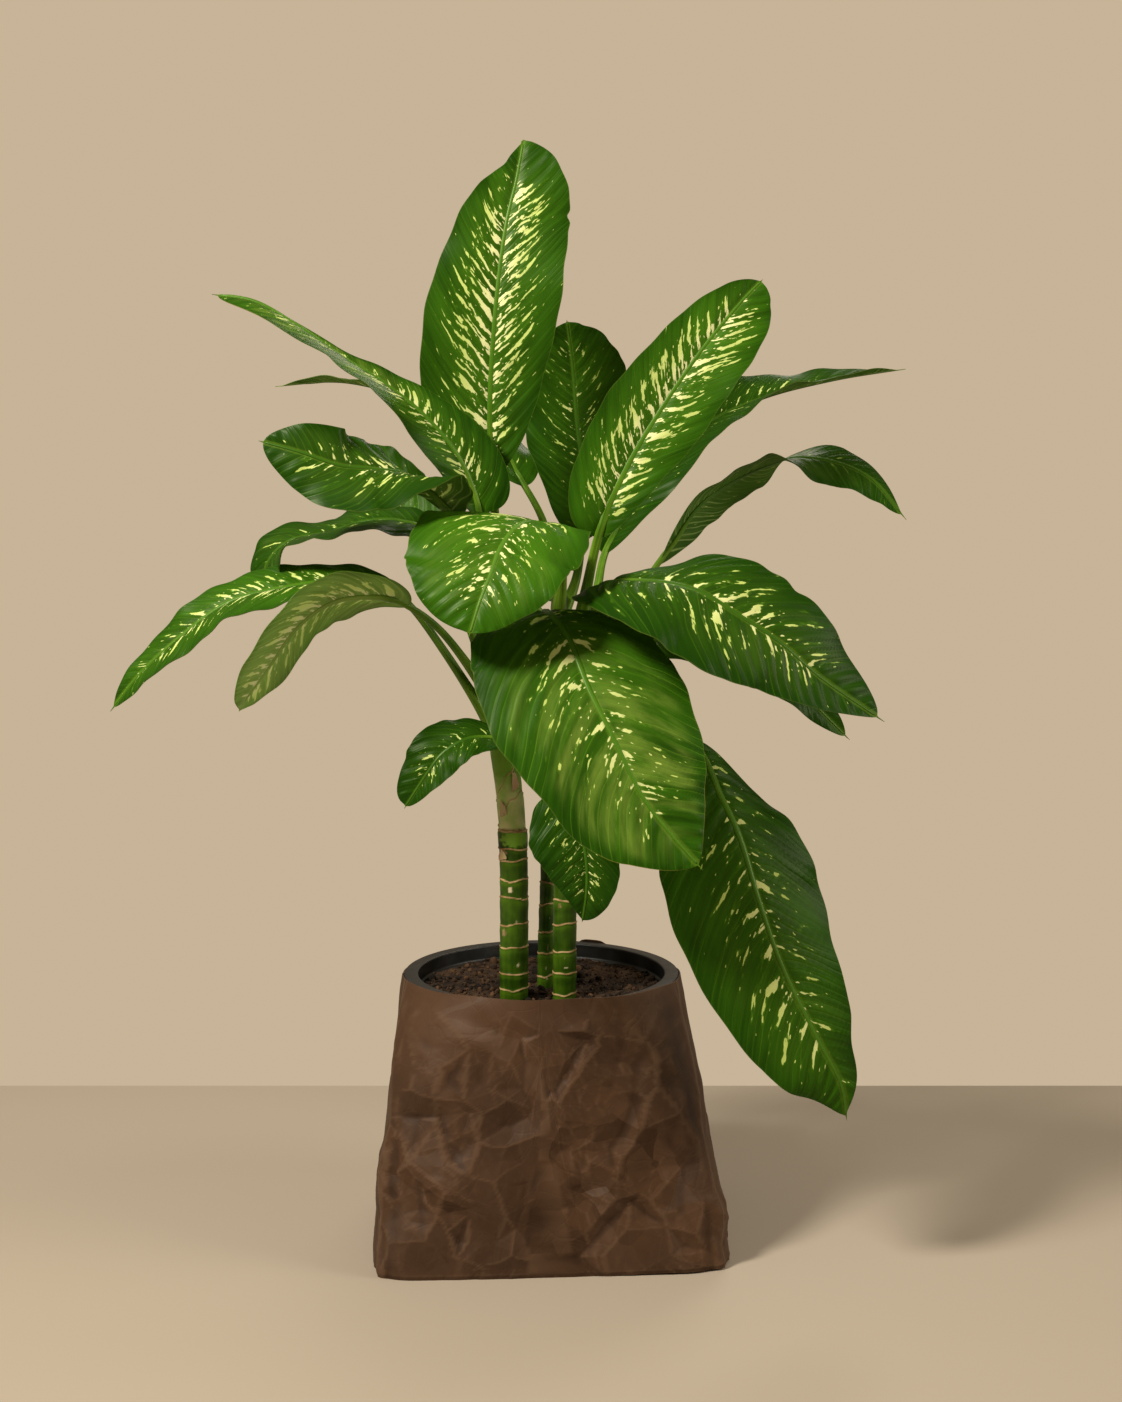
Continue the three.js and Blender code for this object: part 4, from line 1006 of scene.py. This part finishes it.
def add_petiole(build, leaf):
    """The petiole, channelled on top, and the midrib that it runs on into."""
    last = len(leaf["path"]) - 1
    sides = 20
    start = cane_exit(leaf)
    on_petiole = np.linspace(start, leaf["base"], 46)
    on_blade = mix(leaf["base"], last, np.linspace(0, 0.97, 70)[1:])
    place = np.concatenate([on_petiole, on_blade])
    share = np.clip((place - leaf["base"]) / (last - leaf["base"]), 0, 1)
    centre = on_curve(leaf["path"], place)
    steps = np.linalg.norm(np.diff(centre, axis=0), axis=1)
    travelled = np.concatenate([[0], np.cumsum(steps)])
    direction, up, right = leaf_axes(leaf, place, along(leaf["faces"], share))

    slim = mix(leaf["petiole"], leaf["petiole"] * PETIOLE_TAPER,
               np.clip(place / leaf["base"], 0, 1))
    sheath = 1 + 0.75 * np.exp(-travelled / 22.0)
    radius = slim * sheath
    rib = mix(leaf["petiole"] * PETIOLE_TAPER, 0.5, share ** 0.5)
    radius = np.where(share > 0, rib, radius)
    sink = radius * 0.74 * smooth_step(0, 0.05, share)
    angle = np.arange(sides) / sides * TAU
    from_top = np.abs((angle - TAU / 4 + np.pi) % TAU - np.pi)
    channel = 0.30 * np.exp(-(from_top / 0.55) ** 2)[None] \
        * (1 - smooth_step(0, 0.08, share))[:, None]
    ring = radius[:, None] * (1 - channel)
    wide = 1 + 0.6 * smooth_step(0, 0.05, share)[:, None]
    grid = (centre[:, None] - up[:, None] * sink[:, None, None]
            + right[:, None] * (ring * wide * np.cos(angle))[..., None]
            + up[:, None] * (ring * np.sin(angle))[..., None])
    lighter = smooth_step(0.0, 0.25, share)[:, None]
    tone = np.zeros((*ring.shape, 3))
    tone[..., 0] = leaf["light"]
    stem = np.stack([np.broadcast_to(travelled[:, None], ring.shape),
                     np.broadcast_to(angle / TAU, ring.shape),
                     np.broadcast_to(lighter, ring.shape)], -1)
    index = build.add_grid(grid, 2, around=True, stem=stem, tone=tone)
    build.add_cap(index[0], centre[0], 2, stem=stem[0, 0], tone=tone[0, 0])
    build.add_cap(index[-1], grid[-1].mean(0) + direction[-1] * 1.5, 2, flip=True,
                  stem=stem[-1, 0], tone=tone[0, 0])


def make_leaf(leaf, number):
    grid, normal, values = blade_grid(leaf, number)
    build = Build(("blade", "kind", "tone", "stem"))
    half = BLADE_THICKNESS / 2
    top = build.add_grid(grid + normal * half, 0, flip=True, **values)
    under = build.add_grid(grid - normal * half, 1, **values)
    close_sheets(build, top, under, 0)
    add_petiole(build, leaf)
    piece = build.object(leaf["name"] + "_blade", [BLADE_TOP, BLADE_UNDER, STEM], sharp=70)
    place_piece(piece, "leaf", leaf["name"])


# ---- Pot and soil --------------------------------------------------------------

def rounded(profile, radius, steps=4):
    """A profile of (radius, height) points with each inner corner rounded off."""
    points = [np.array(p, float) for p in profile]
    result = [points[0]]
    for before, corner, after in zip(points, points[1:], points[2:]):
        to_before, to_after = before - corner, after - corner
        reach = min(radius, np.linalg.norm(to_before) / 2.2, np.linalg.norm(to_after) / 2.2)
        start = corner + to_before / np.linalg.norm(to_before) * reach
        end = corner + to_after / np.linalg.norm(to_after) * reach
        for t in np.linspace(0, 1, steps + 1):
            result.append((1 - t) ** 2 * start + 2 * t * (1 - t) * corner + t ** 2 * end)
    result.append(points[-1])
    return np.array(result)


def tilted(grid):
    """The pot leans a little forward: its rim is higher at the back."""
    lean = POT["back_lift"] / POT["rim_radius"]
    grid[..., 2] += lean * grid[..., 1] * grid[..., 2] / POT["rim_top"]
    return grid


def lathe_grid(profile, sides):
    angle = np.arange(sides) / sides * TAU
    radius, height = profile[:, :1], profile[:, 1:]
    return tilted(np.stack([radius * np.cos(angle), radius * np.sin(angle),
                            np.broadcast_to(height, (len(profile), sides)).copy()], -1))


def make_pot():
    rim, top, mouth, wall = POT["rim_radius"], POT["rim_top"], POT["mouth_radius"], POT["wall"]
    floor = BAG["paper"] + GAP
    ledge = top - POT["ledge_depth"]
    inner_ledge = mouth - POT["ledge_step"]
    base = POT["base_radius"]
    profile = rounded([
        (0.5, floor), (base, floor), (inner_ledge + wall, ledge - wall), (mouth + wall, ledge),
        (mouth + wall, top - wall), (rim - wall, top - wall), (rim - wall, top - POT["rim_skirt"]),
        (rim, top - POT["rim_skirt"]), (rim, top), (mouth, top), (mouth, ledge),
        (inner_ledge, ledge - wall), (base - wall, floor + wall), (0.5, floor + wall)], 1.3)
    build = Build()
    index = build.add_grid(lathe_grid(profile, 180), 0, around=True, flip=True)
    build.add_cap(index[0], (0, 0, floor), 0, flip=True)
    build.add_cap(index[-1], (0, 0, floor + wall), 0)
    piece = build.object("pot_moulding", [pot_material()], sharp=50)
    drill_drains(piece)
    place_piece(piece, "pot", "nursery_pot")


def drill_drains(piece):
    """Cuts the drain holes through the pot's floor."""
    build = Build()
    sides = 32
    for k in range(POT["drain_holes"]):
        angle = TAU * k / POT["drain_holes"]
        middle = np.array([math.cos(angle), math.sin(angle)]) * POT["drain_circle"]
        turn = np.arange(sides) / sides * TAU
        ring = np.stack([middle[0] + POT["drain_radius"] * np.cos(turn),
                         middle[1] + POT["drain_radius"] * np.sin(turn)], -1)
        grid = np.stack([np.column_stack([ring, np.full(sides, z)]) for z in (-8.0, 12.0)])
        index = build.add_grid(grid, 0, around=True, flip=True)
        build.add_cap(index[0], (*middle, -8.0), 0, flip=True)
        build.add_cap(index[-1], (*middle, 12.0), 0)
    drill = build.object("drill", [])
    cut = piece.modifiers.new("drains", "BOOLEAN")
    cut.object = drill
    cut.operation = "DIFFERENCE"
    cut.solver = "EXACT"
    view = bpy.context.evaluated_depsgraph_get()
    result = bpy.data.meshes.new_from_object(piece.evaluated_get(view))
    piece.modifiers.clear()
    piece.data = result
    bpy.data.objects.remove(drill)


def soil_height(x, y):
    radius = np.hypot(x, y)
    inside = POT["mouth_radius"] - POT["ledge_step"]
    height = np.interp(radius, [0, SOIL["mound_radius"], inside],
                       [SOIL["middle_height"], SOIL["mound_height"], SOIL["edge_height"]])
    flat = np.stack([x, y, np.zeros_like(x)], -1)
    lumps = 2.0 * noise_at(flat, 24.0, 3.0) + 1.7 * noise_at(flat, 9.0, 5.0) \
        + 1.3 * noise_at(flat, 4.0, 8.0)
    return height + lumps.reshape(height.shape)


def make_soil():
    floor = BAG["paper"] + GAP + POT["wall"] + GAP
    inside = POT["mouth_radius"] - POT["ledge_step"] - 2.2
    rings = np.linspace(1.0, inside, 76)
    angle = np.arange(260) / 260 * TAU
    x, y = rings[:, None] * np.cos(angle), rings[:, None] * np.sin(angle)
    surface = np.stack([x, y, soil_height(x, y)], -1)
    lower = POT["base_radius"] - POT["wall"] - 1.0
    side = np.stack([np.stack([r * np.cos(angle), r * np.sin(angle), np.full(len(angle), z)], -1)
                     for r, z in ((lower + 14, 180.0), (lower + 2, 40.0), (lower - 3, floor))])
    build = Build(("crumb",))
    grid = tilted(np.concatenate([surface, side]))
    index = build.add_grid(grid, 0, around=True, crumb=np.zeros((*grid.shape[:2], 3)))
    build.add_cap(index[0], (0, 0, float(soil_height(np.zeros(1), np.zeros(1))[0])), 0)
    build.add_cap(index[-1], (0, 0, floor), 0, flip=True)
    add_crumbs(build, inside)
    piece = build.object("soil_surface", [soil_material()])
    place_piece(piece, "soil", "soil")


def add_crumbs(build, inside):
    """Loose crumbs and bits of bark on the soil."""
    rng = np.random.default_rng(11)
    seed_mesh = bmesh.new()
    bmesh.ops.create_icosphere(seed_mesh, subdivisions=2, radius=1.0)
    ball = np.array([v.co[:] for v in seed_mesh.verts])
    faces = np.array([[v.index for v in f.verts] for f in seed_mesh.faces])
    seed_mesh.free()
    count = 1500
    for k in range(count):
        radius = inside * math.sqrt(rng.uniform(0, 0.98))
        angle = rng.uniform(0, TAU)
        x, y = radius * math.cos(angle), radius * math.sin(angle)
        if any(math.hypot(x - c["path"][1][0], y - c["path"][1][1]) < c["radii"][1] + 2
               for c in CANES):
            continue
        size = min(0.5 + 1.3 * rng.exponential(0.5), 3.4)
        stretch = rng.uniform(0.6, 1.5, 3) * size
        turn = rng.normal(size=(3, 3))
        turn, _ = np.linalg.qr(turn)
        lumpy = ball * (1 + 0.28 * noise_at(ball, 0.6, k * 1.7))[:, None]
        shape = (lumpy * stretch) @ turn
        ground = tilted(np.array([x, y, float(soil_height(np.array([x]), np.array([y]))[0])]))
        shape += ground + np.array([0, 0, 0.25 * size])
        shade = rng.normal(0.0, 0.16)
        start = build.add_points(shape, crumb=np.tile([shade, 0, 0], (len(shape), 1)))
        build.add_faces(faces + start, 0)


# ---- Paper bag -----------------------------------------------------------------

BAG_SIDES = 420
BAG_ROWS = 170
INNER_ROWS = 24
CORNER_UNIT = 12  # millimetres past a corner crease that the paper's material reads as 1

# Folds of the front panel: lines and single points of (pixels across, pixels down,
# how many millimetres the paper stands out, before FOLD_DEPTH). The points were read
# off the photo's part from (365, 970) to (735, 1290), enlarged 1600 / 370 times.
FOLD_SCALE = (0.185, -0.191)  # millimetres on the bag for one enlarged pixel
FOLD_CORNER = (-140, 254)  # x and height at the corner of the enlarged part
SEEN_FOLDS = [
    [(90, 640, -1), (200, 650, -3.2), (300, 640, -1.6)], [(110, 560, 1.2)], [(200, 540, 1.6)],
    [(290, 560, 0.9)], [(60, 745, 0.8)],
    [(140, 745, 1), (200, 825, 3.2), (340, 945, 3.4), (350, 1040, 0.6)],
    [(300, 655, 0.2), (355, 830, 2), (430, 870, 2.4), (560, 900, 3), (582, 810, 1)],
    [(330, 690, -1.2), (385, 800, -1.4)],
    [(60, 1100, -1.2), (150, 1060, -2.2), (240, 1025, -2.6), (300, 1040, 1.8), (350, 1110, 1.6),
     (395, 1230, 0.8)],
    [(405, 1170, -2.2)], [(440, 1060, -0.6)], [(100, 1180, 1.4)], [(60, 1290, 0.4)],
    [(250, 1150, 1.8)], [(330, 1200, 1.2)], [(260, 1290, 0.3)], [(100, 900, -1.6)],
    [(230, 960, -1.4)], [(60, 1000, -1)], [(160, 980, -1.8)], [(440, 600, -0.4), (400, 740, -2)],
    [(500, 620, 0.7)], [(480, 740, 1)],
    [(590, 670, -2), (640, 668, -2.2), (700, 640, -1.6), (720, 600, -1.2)], [(660, 740, 1.9)],
    [(600, 760, 1.3)], [(760, 700, 2.1)], [(830, 740, 1.2)], [(680, 820, 0.2)],
    [(760, 840, -0.6)], [(680, 290, -0.5), (690, 400, -1.2), (690, 520, -1.4)], [(625, 400, 0.9)],
    [(620, 560, 0.6)], [(770, 420, 1.3)], [(760, 560, 1.1)],
    [(700, 300, 1.2), (780, 265, 1.4), (835, 250, 1.2)], [(968, 205, 1), (942, 262, 2.6)],
    [(1000, 290, 1.6)], [(960, 310, -1), (900, 420, -1.6), (835, 525, -1.9)],
    [(940, 430, 0.9), (880, 500, 1), (850, 560, 1.2)], [(860, 400, 0.6)], [(1010, 335, 0.2)],
    [(1100, 400, -1.9)], [(1050, 550, -1.8)], [(950, 650, -1.7)], [(900, 760, -0.6)],
    [(1180, 430, -1.7)],
    [(1000, 290, 1.6), (1100, 292, 1.2), (1200, 320, 2.4), (1240, 352, 2.6), (1265, 430, 2.2),
     (1265, 505, 2.8), (1360, 630, 3), (1440, 740, 2.6), (1520, 830, 1.6)],
    [(1170, 522, -1), (1205, 545, 0.6)],
    [(1180, 590, -2.6), (1130, 690, -2.8), (1070, 790, -1.9)],
    [(1235, 570, 1.9), (1200, 690, 1.6), (1125, 810, 1)], [(1330, 520, 0.6)], [(1420, 560, 0.3)],
    [(1480, 690, -1.2)], [(1400, 440, 0.6)], [(1370, 300, 0.3)], [(1300, 180, 0.2)],
    [(1330, 760, -1.2)], [(1400, 850, -1.6)], [(1250, 860, -0.9)], [(1480, 930, 0.4)],
    [(1190, 960, 0.8)], [(1160, 1010, -1.1), (1045, 1120, -1.8), (915, 1245, -1.6)],
    [(1080, 1000, 1), (980, 1100, 0.9), (860, 1200, 0.6)], [(1130, 1130, 1.2), (1035, 1235, 1)],
    [(1250, 990, 1.8), (1290, 1060, 2), (1320, 1120, 1.3)], [(1225, 1060, -1)],
    [(1380, 1060, -1.5)], [(1450, 1150, 1.2)], [(1395, 1200, -1.2)], [(1330, 1230, 0.9)],
    [(1480, 1040, 0.9)], [(1500, 1240, -0.6)], [(700, 1000, -1.1)], [(795, 960, 1)],
    [(740, 1080, -2)],
    [(790, 1140, 1.2), (700, 1148, -1.2), (640, 1120, -1.4), (560, 1160, -1.5), (440, 1170, -0.9),
     ],
    [(600, 1060, 0.9)], [(480, 1000, 0.9)], [(640, 1220, 0.9)], [(760, 1270, 0.3)],
    [(1150, 1280, 0.2)], [(500, 1280, 0.2)], [(900, 880, 1)], [(1010, 930, -0.9)],
    [(1110, 880, 0.7)], [(880, 1010, 0.3)], [(960, 830, -0.6)], [(300, 200, 0.4)],
    [(500, 250, -0.6)], [(450, 345, 0.8), (520, 350, 0.6)], [(365, 462, -1.4), (420, 470, 0.5)],
    [(250, 350, -0.8)], [(200, 450, 0.9)], [(330, 420, 0.7)], [(480, 470, -0.8)],
    [(550, 520, 0.2)], [(800, 180, 0.3)], [(1100, 180, 0.1)], [(640, 190, 0.2)],
    [(150, 230, 0.3)], [(170, 340, 0.5)], [(420, 560, 0.4)],
]


def fold_on_bag(line):
    """A fold's points as (x, height, how far it stands out), in millimetres."""
    return [(round(FOLD_SCALE[0] * across + FOLD_CORNER[0]),
             round(FOLD_SCALE[1] * down + FOLD_CORNER[1]), out) for across, down, out in line]


FRONT_FOLDS = [fold_on_bag(line) for line in SEEN_FOLDS]
# Folds of the sides: (turn in degrees, height, how far it stands out).
SIDE_FOLDS = [
    [(200, 78, 4.5)], [(205, 118, -2.5)], [(190, 45, 0.5)], [(188, 150, -1.5)], [(203, 18, 0)],
    [(342, 40, 5)], [(345, 74, 0.5), (340, 100, -2)], [(350, 142, 1.5)], [(336, 15, -2)],
    [(172, 100, 2)], [(8, 90, 1.5)], [(5, 45, -1.5)],
]
FOLD_DEPTH = 1.45  # how many times deeper than in the table the front folds are
# Corner creases: turn in degrees at the bottom and at the top, and which way the
# side panel lies.
CORNERS = ((216, 199, -1), (322, 341, 1), (45, 35, -1), (135, 145, 1))
BACK_EDGE_LIFT = 10
BACK_EDGE_PLACE = (46, 17)  # middle and half width of the lifted part


def bag_frame(angle, share):
    """Plain shape of the bag: points at each angle and share of the height."""
    swell = np.sin(np.pi * share)
    half_width = mix(BAG["base_half_width"], BAG["top_radius"], share) + swell
    half_depth = mix(BAG["base_half_depth"], BAG["top_radius"], share) + swell / 2
    squareness = mix(BAG["base_squareness"], 2, share)

    def power(value):
        return np.sign(value) * np.abs(value) ** (2 / squareness)
    x, y = half_width * power(np.cos(angle)), half_depth * power(np.sin(angle))
    y = y + BAG["base_skew"] * x * (1 - share)
    x = x + BAG["base_shift"] * (1 - share)
    top = mix(BAG["back_top"], BAG["front_top"], (1 - y / BAG["top_radius"]) / 2)
    middle_top = (BAG["front_top"] + BAG["back_top"]) / 2
    z = share * mix(middle_top, top, share)
    return np.stack([x, y, z], -1)


def even_angles(count):
    """Angles that space the points evenly round the bag, and the way round it
    in millimetres as a function of the angle."""
    fine = np.linspace(0, TAU, 4001)
    ring = bag_frame(fine, np.full(fine.shape, 0.25))
    steps = np.linalg.norm(np.diff(ring, axis=0), axis=1)
    travelled = np.concatenate([[0], np.cumsum(steps)])
    wanted = np.linspace(0, travelled[-1], count + 1)[:-1]
    return np.interp(wanted, travelled, fine), travelled[-1], \
        lambda angle: np.interp(np.asarray(angle) % TAU, fine, travelled)


def folded(u, v, folds):
    """Heights at (u, v) of a sheet folded into flat facets between the points of
    the folds. Each fold is a line of (u, v, height)."""
    points, heights, edges = [], [], []
    for line in folds:
        edges += [(len(points) + k, len(points) + k + 1) for k in range(len(line) - 1)]
        points += [Vector(p[:2]) for p in line]
        heights += [p[2] for p in line]
    places, _, facets, sources = geometry.delaunay_2d_cdt(points, edges, [], 0, 1e-4)[:4]
    heights = [np.mean([heights[k] for k in source]) if source else 0.0 for source in sources]
    flat_u, flat_v = u.ravel(), v.ravel()
    result = np.zeros(flat_u.shape)
    for facet in facets:
        corners = np.array([places[k][:] for k in facet])
        low, high = corners.min(0) - 0.01, corners.max(0) + 0.01
        near = np.flatnonzero((flat_u >= low[0]) & (flat_u <= high[0])
                              & (flat_v >= low[1]) & (flat_v <= high[1]))
        if not len(near):
            continue
        (ax, ay), (bx, by), (cx, cy) = corners
        area = (by - cy) * (ax - cx) + (cx - bx) * (ay - cy)
        if abs(area) < 1e-9:
            continue
        du, dv = flat_u[near] - cx, flat_v[near] - cy
        a = ((by - cy) * du + (cx - bx) * dv) / area
        b = ((cy - ay) * du + (ax - cx) * dv) / area
        inside = (a >= -1e-6) & (b >= -1e-6) & (a + b <= 1 + 1e-6)
        level = a * heights[facet[0]] + b * heights[facet[1]] + (1 - a - b) * heights[facet[2]]
        result[near[inside]] = level[inside]
    return result.reshape(u.shape)


def random_folds(rng, girth, spacing, size, kept=()):
    """Points spread over the unrolled bag, repeated past its seam, with random
    heights. Points near the kept ones are left out."""
    folds = []
    columns, rows = round(girth / spacing), round(240 / spacing) + 2
    for i in range(columns):
        for j in range(rows):
            u = (i + 0.5 + rng.uniform(-0.42, 0.42)) * girth / columns
            v = (j - 0.5 + rng.uniform(-0.42, 0.42)) * spacing
            if any(math.hypot(u - k[0], v - k[1]) < 0.7 * spacing for k in kept):
                continue
            height = rng.normal(0, size)
            folds += [[(u + shift, v, height)] for shift in (0, girth, -girth)
                      if -2 * spacing < u + shift < girth + 2 * spacing]
    return folds


def soften(grid, times):
    for _ in range(times):
        rows = np.concatenate([grid[:1], grid, grid[-1:]])
        grid = (rows[2:] + 2 * grid + rows[:-2]) / 4
        grid = (np.roll(grid, 1, 1) + 2 * grid + np.roll(grid, -1, 1)) / 4
    return grid


def crumple(around, girth, way_round, plain, front, share):
    """How far the paper stands in or out, in millimetres, and where the creases
    of its corners run."""
    rng = np.random.default_rng(7)
    height = plain[..., 2]
    girth_map = np.stack([150 * np.cos(around / girth * TAU), 150 * np.sin(around / girth * TAU),
                          height], -1)

    def wander(seed):
        wide, narrow = noise_at(girth_map, 30.0, seed), noise_at(girth_map, 9.0, seed + 5)
        return (5.0 * wide + 1.3 * narrow).reshape(height.shape)
    aside, upward = wander(11.0), wander(23.0) * smooth_step(0, 0.06, share)
    sides = [[(float(way_round(math.radians(a))), z, rise) for a, z, rise in line]
             for line in SIDE_FOLDS]
    kept = [point for line in sides for point in line]
    coarse = folded(around + aside, height + upward,
                    sides + random_folds(rng, girth, 42, 1.9, kept))
    border = [[(x, z, 0.0)] for x in (-175, -60, 60, 175) for z in (-12, 262)]
    border += [[(x, z, 0.0)] for x in (-160, 170) for z in (60, 130, 200)]
    panel = folded(plain[..., 0] + 0.6 * aside, height + 0.6 * upward, FRONT_FOLDS + border)
    medium = folded(around + aside, height + upward, random_folds(rng, girth, 19, 0.6))
    fine = folded(around + aside, height + upward, random_folds(rng, girth, 9, 0.3))

    busy = smooth_step(-0.25, 0.35, noise_at(girth_map, 70.0, 4.0)).reshape(height.shape)
    calm = smooth_step(0.55, 0.9, share)
    busy = busy * (1 - 0.6 * calm) + 0.25
    depth = mix(coarse * (1 - 0.5 * calm), FOLD_DEPTH * panel, front) + (medium + fine) * busy
    past = np.full_like(depth, 1e3)
    for base_corner, top_corner, side in CORNERS:
        corner = np.radians(mix(base_corner, top_corner, share))
        beyond = (around - way_round(corner) + girth / 2) % girth - girth / 2
        beyond = side * (beyond + 1.2 * np.sin(height / 17 + base_corner))
        apart = np.abs(beyond)
        depth = depth + 2.6 * np.clip(1 - apart / 13, 0, 1) * (1 - 0.4 * share) \
            - 1.0 * np.exp(-((apart - 16) / 6) ** 2) * (1 - share)
        depth = depth - 1.3 * smooth_step(-0.5, 2.2, beyond) * smooth_step(16, 4, beyond)
        past = np.where(apart < np.abs(past), beyond, past)
    return depth, past


def make_bag():
    angle, girth, way_round = even_angles(BAG_SIDES)
    share_line = np.linspace(0, 1, BAG_ROWS + 1)
    share, angle_grid = np.meshgrid(share_line, angle, indexing="ij")
    around = way_round(angle_grid)
    plain = bag_frame(angle_grid, share)
    along_ring = np.roll(plain, -1, 1) - np.roll(plain, 1, 1)
    normal = np.cross(along_ring, np.gradient(plain, axis=0))
    normal[..., 2] = 0
    normal = unit(normal)

    front = smooth_step(0.45, 0.8, -normal[..., 1])
    depth, past_corner = crumple(around, girth, way_round, plain, front, share)
    near_rim = smooth_step(0.91, 0.985, share)
    depth = depth * np.where(depth > 0, 1 - 0.7 * near_rim, 1 - near_rim)
    depth = np.clip(depth, -7, 6)
    depth = depth - 1.2 * smooth_step(0.02, 0.0, share)

    pad = np.concatenate([depth[:, -1:], depth, depth[:, :1]], 1)
    bend = pad[:, 2:] + pad[:, :-2] - 2 * depth
    bend[1:-1] += depth[2:] + depth[:-2] - 2 * depth[1:-1]
    # sharp: painted highlight on the convex ridges of the creases.
    sharp = np.clip(-bend * 2.4, 0, 1)
    # deep: painted shade in the concave hollows of the creases.
    deep = np.clip(soften(bend, 2) * 2.0, 0, 1)
    outer = plain + normal * depth[..., None]
    outer[..., 2] += 1.6 * smooth_step(0.05, 0.0, share) * smooth_step(20, 110, outer[..., 0]) \
        * smooth_step(-60, -110, outer[..., 1])
    middle, reach = BACK_EDGE_PLACE
    lifted = np.clip(1 - ((outer[..., 0] - middle) / reach) ** 4, 0, 1) * (outer[..., 1] > 0)
    outer[..., 2] += BACK_EDGE_LIFT * lifted * smooth_step(0.93, 1.0, share)
    outer[..., 2] += 0.5 * np.sin(angle_grid * 9 + 1) * smooth_step(0.95, 1.0, share)

    build = Build(("crease", "corner"))
    # The crease values: painted highlight on ridges, painted shade in hollows, painted shade on
    # the lifted back edge.
    values = np.stack([sharp, deep, lifted * smooth_step(0.9, 0.97, share)], -1)
    corner = np.zeros_like(values)
    corner[..., 0] = np.clip(past_corner / CORNER_UNIT, -1, 1)
    outside = build.add_grid(outer, 0, around=True, flip=True, crease=values, corner=corner)
    rows = np.linspace(0, BAG_ROWS, INNER_ROWS + 1).astype(int)
    paper = BAG["paper"]
    inner = outer[rows] - normal[rows] * paper
    inner[..., 2] = np.maximum(inner[..., 2], paper)
    inside = build.add_grid(inner, 0, around=True, crease=np.zeros((*inner.shape[:2], 3)))
    a, b = outside[-1], inside[-1]
    build.add_faces(np.stack([a, np.roll(a, -1), np.roll(b, -1), b], -1), 0)
    add_bottom(build, outer[0], outside[0], 0.0, True)
    add_bottom(build, inner[0], inside[0], paper, False)
    piece = build.object("kraft_bag", [bag_material()], sharp=55)
    place_piece(piece, "bag", "paper_bag")


def add_bottom(build, ring, index, height, flip):
    """The bag's flat bottom, as rings that shrink to its middle."""
    middle = np.array([BAG["base_shift"], 0, height])
    previous = index
    for k in (0.8, 0.5, 0.2):
        points = middle + (ring - middle) * k
        points[:, 2] = height
        start = build.add_points(points, crease=np.zeros((len(points), 3)))
        current = start + np.arange(len(points))
        quads = np.stack([previous, np.roll(previous, -1), np.roll(current, -1), current], -1)
        build.add_faces(quads[:, ::-1] if flip else quads, 0)
        previous = current
    build.add_cap(previous, middle, 0, flip=flip)


# ---- Stage ---------------------------------------------------------------------

def add_floor():
    bpy.ops.mesh.primitive_plane_add(size=1, location=(0, -1.0, 0))
    floor = bpy.context.object
    floor.name = "floor"
    floor.scale = (7, 2.9, 1)
    floor.data.materials.append(floor_material())


def add_area_light(name, place, target, size, power, color):
    data = bpy.data.lights.new(name, "AREA")
    data.shape = "DISK"
    data.size = size
    data.energy = power
    data.color = color
    light = bpy.data.objects.new(name, data)
    light.location = place
    aim = Vector(target) - Vector(place)
    light.rotation_euler = aim.to_track_quat("-Z", "Y").to_euler()
    bpy.context.scene.collection.objects.link(light)


AMBIENT_STRENGTH = 0.50


def add_world():
    """A plain wall colour behind the object, that lights it a little less strongly."""
    world = bpy.data.worlds.new("studio")
    bpy.context.scene.world = world
    world.use_nodes = True
    tree = world.node_tree
    background = tree.nodes["Background"]
    background.inputs["Color"].default_value = (0.577, 0.456, 0.314, 1)
    seen = tree.nodes.new("ShaderNodeLightPath").outputs["Is Camera Ray"]
    strength = tree.nodes.new("ShaderNodeMapRange")
    strength.inputs["To Min"].default_value = AMBIENT_STRENGTH
    tree.links.new(seen, strength.inputs["Value"])
    tree.links.new(strength.outputs["Result"], background.inputs["Strength"])


def add_stage():
    add_floor()
    add_world()
    middle = (0.0, -0.05, 0.5)
    add_area_light("key", (-1.3, -1.2, 2.0), middle, 0.5, 90, (1.0, 0.93, 0.80))
    add_area_light("window", (2.2, -0.7, 1.4), middle, 1.2, 33, (1.0, 0.92, 0.78))
    add_area_light("back", (0.5, 1.6, 2.0), middle, 1.0, 9, (1.0, 0.92, 0.78))
    bpy.context.scene.view_settings.view_transform = "Standard"


# ---- The object ----------------------------------------------------------------

for cane in CANES:
    make_cane(cane)
for number, leaf in enumerate(LEAVES):
    make_leaf(leaf, number)
make_pot()
make_soil()
make_bag()
add_stage()

bpy.context.view_layer.update()
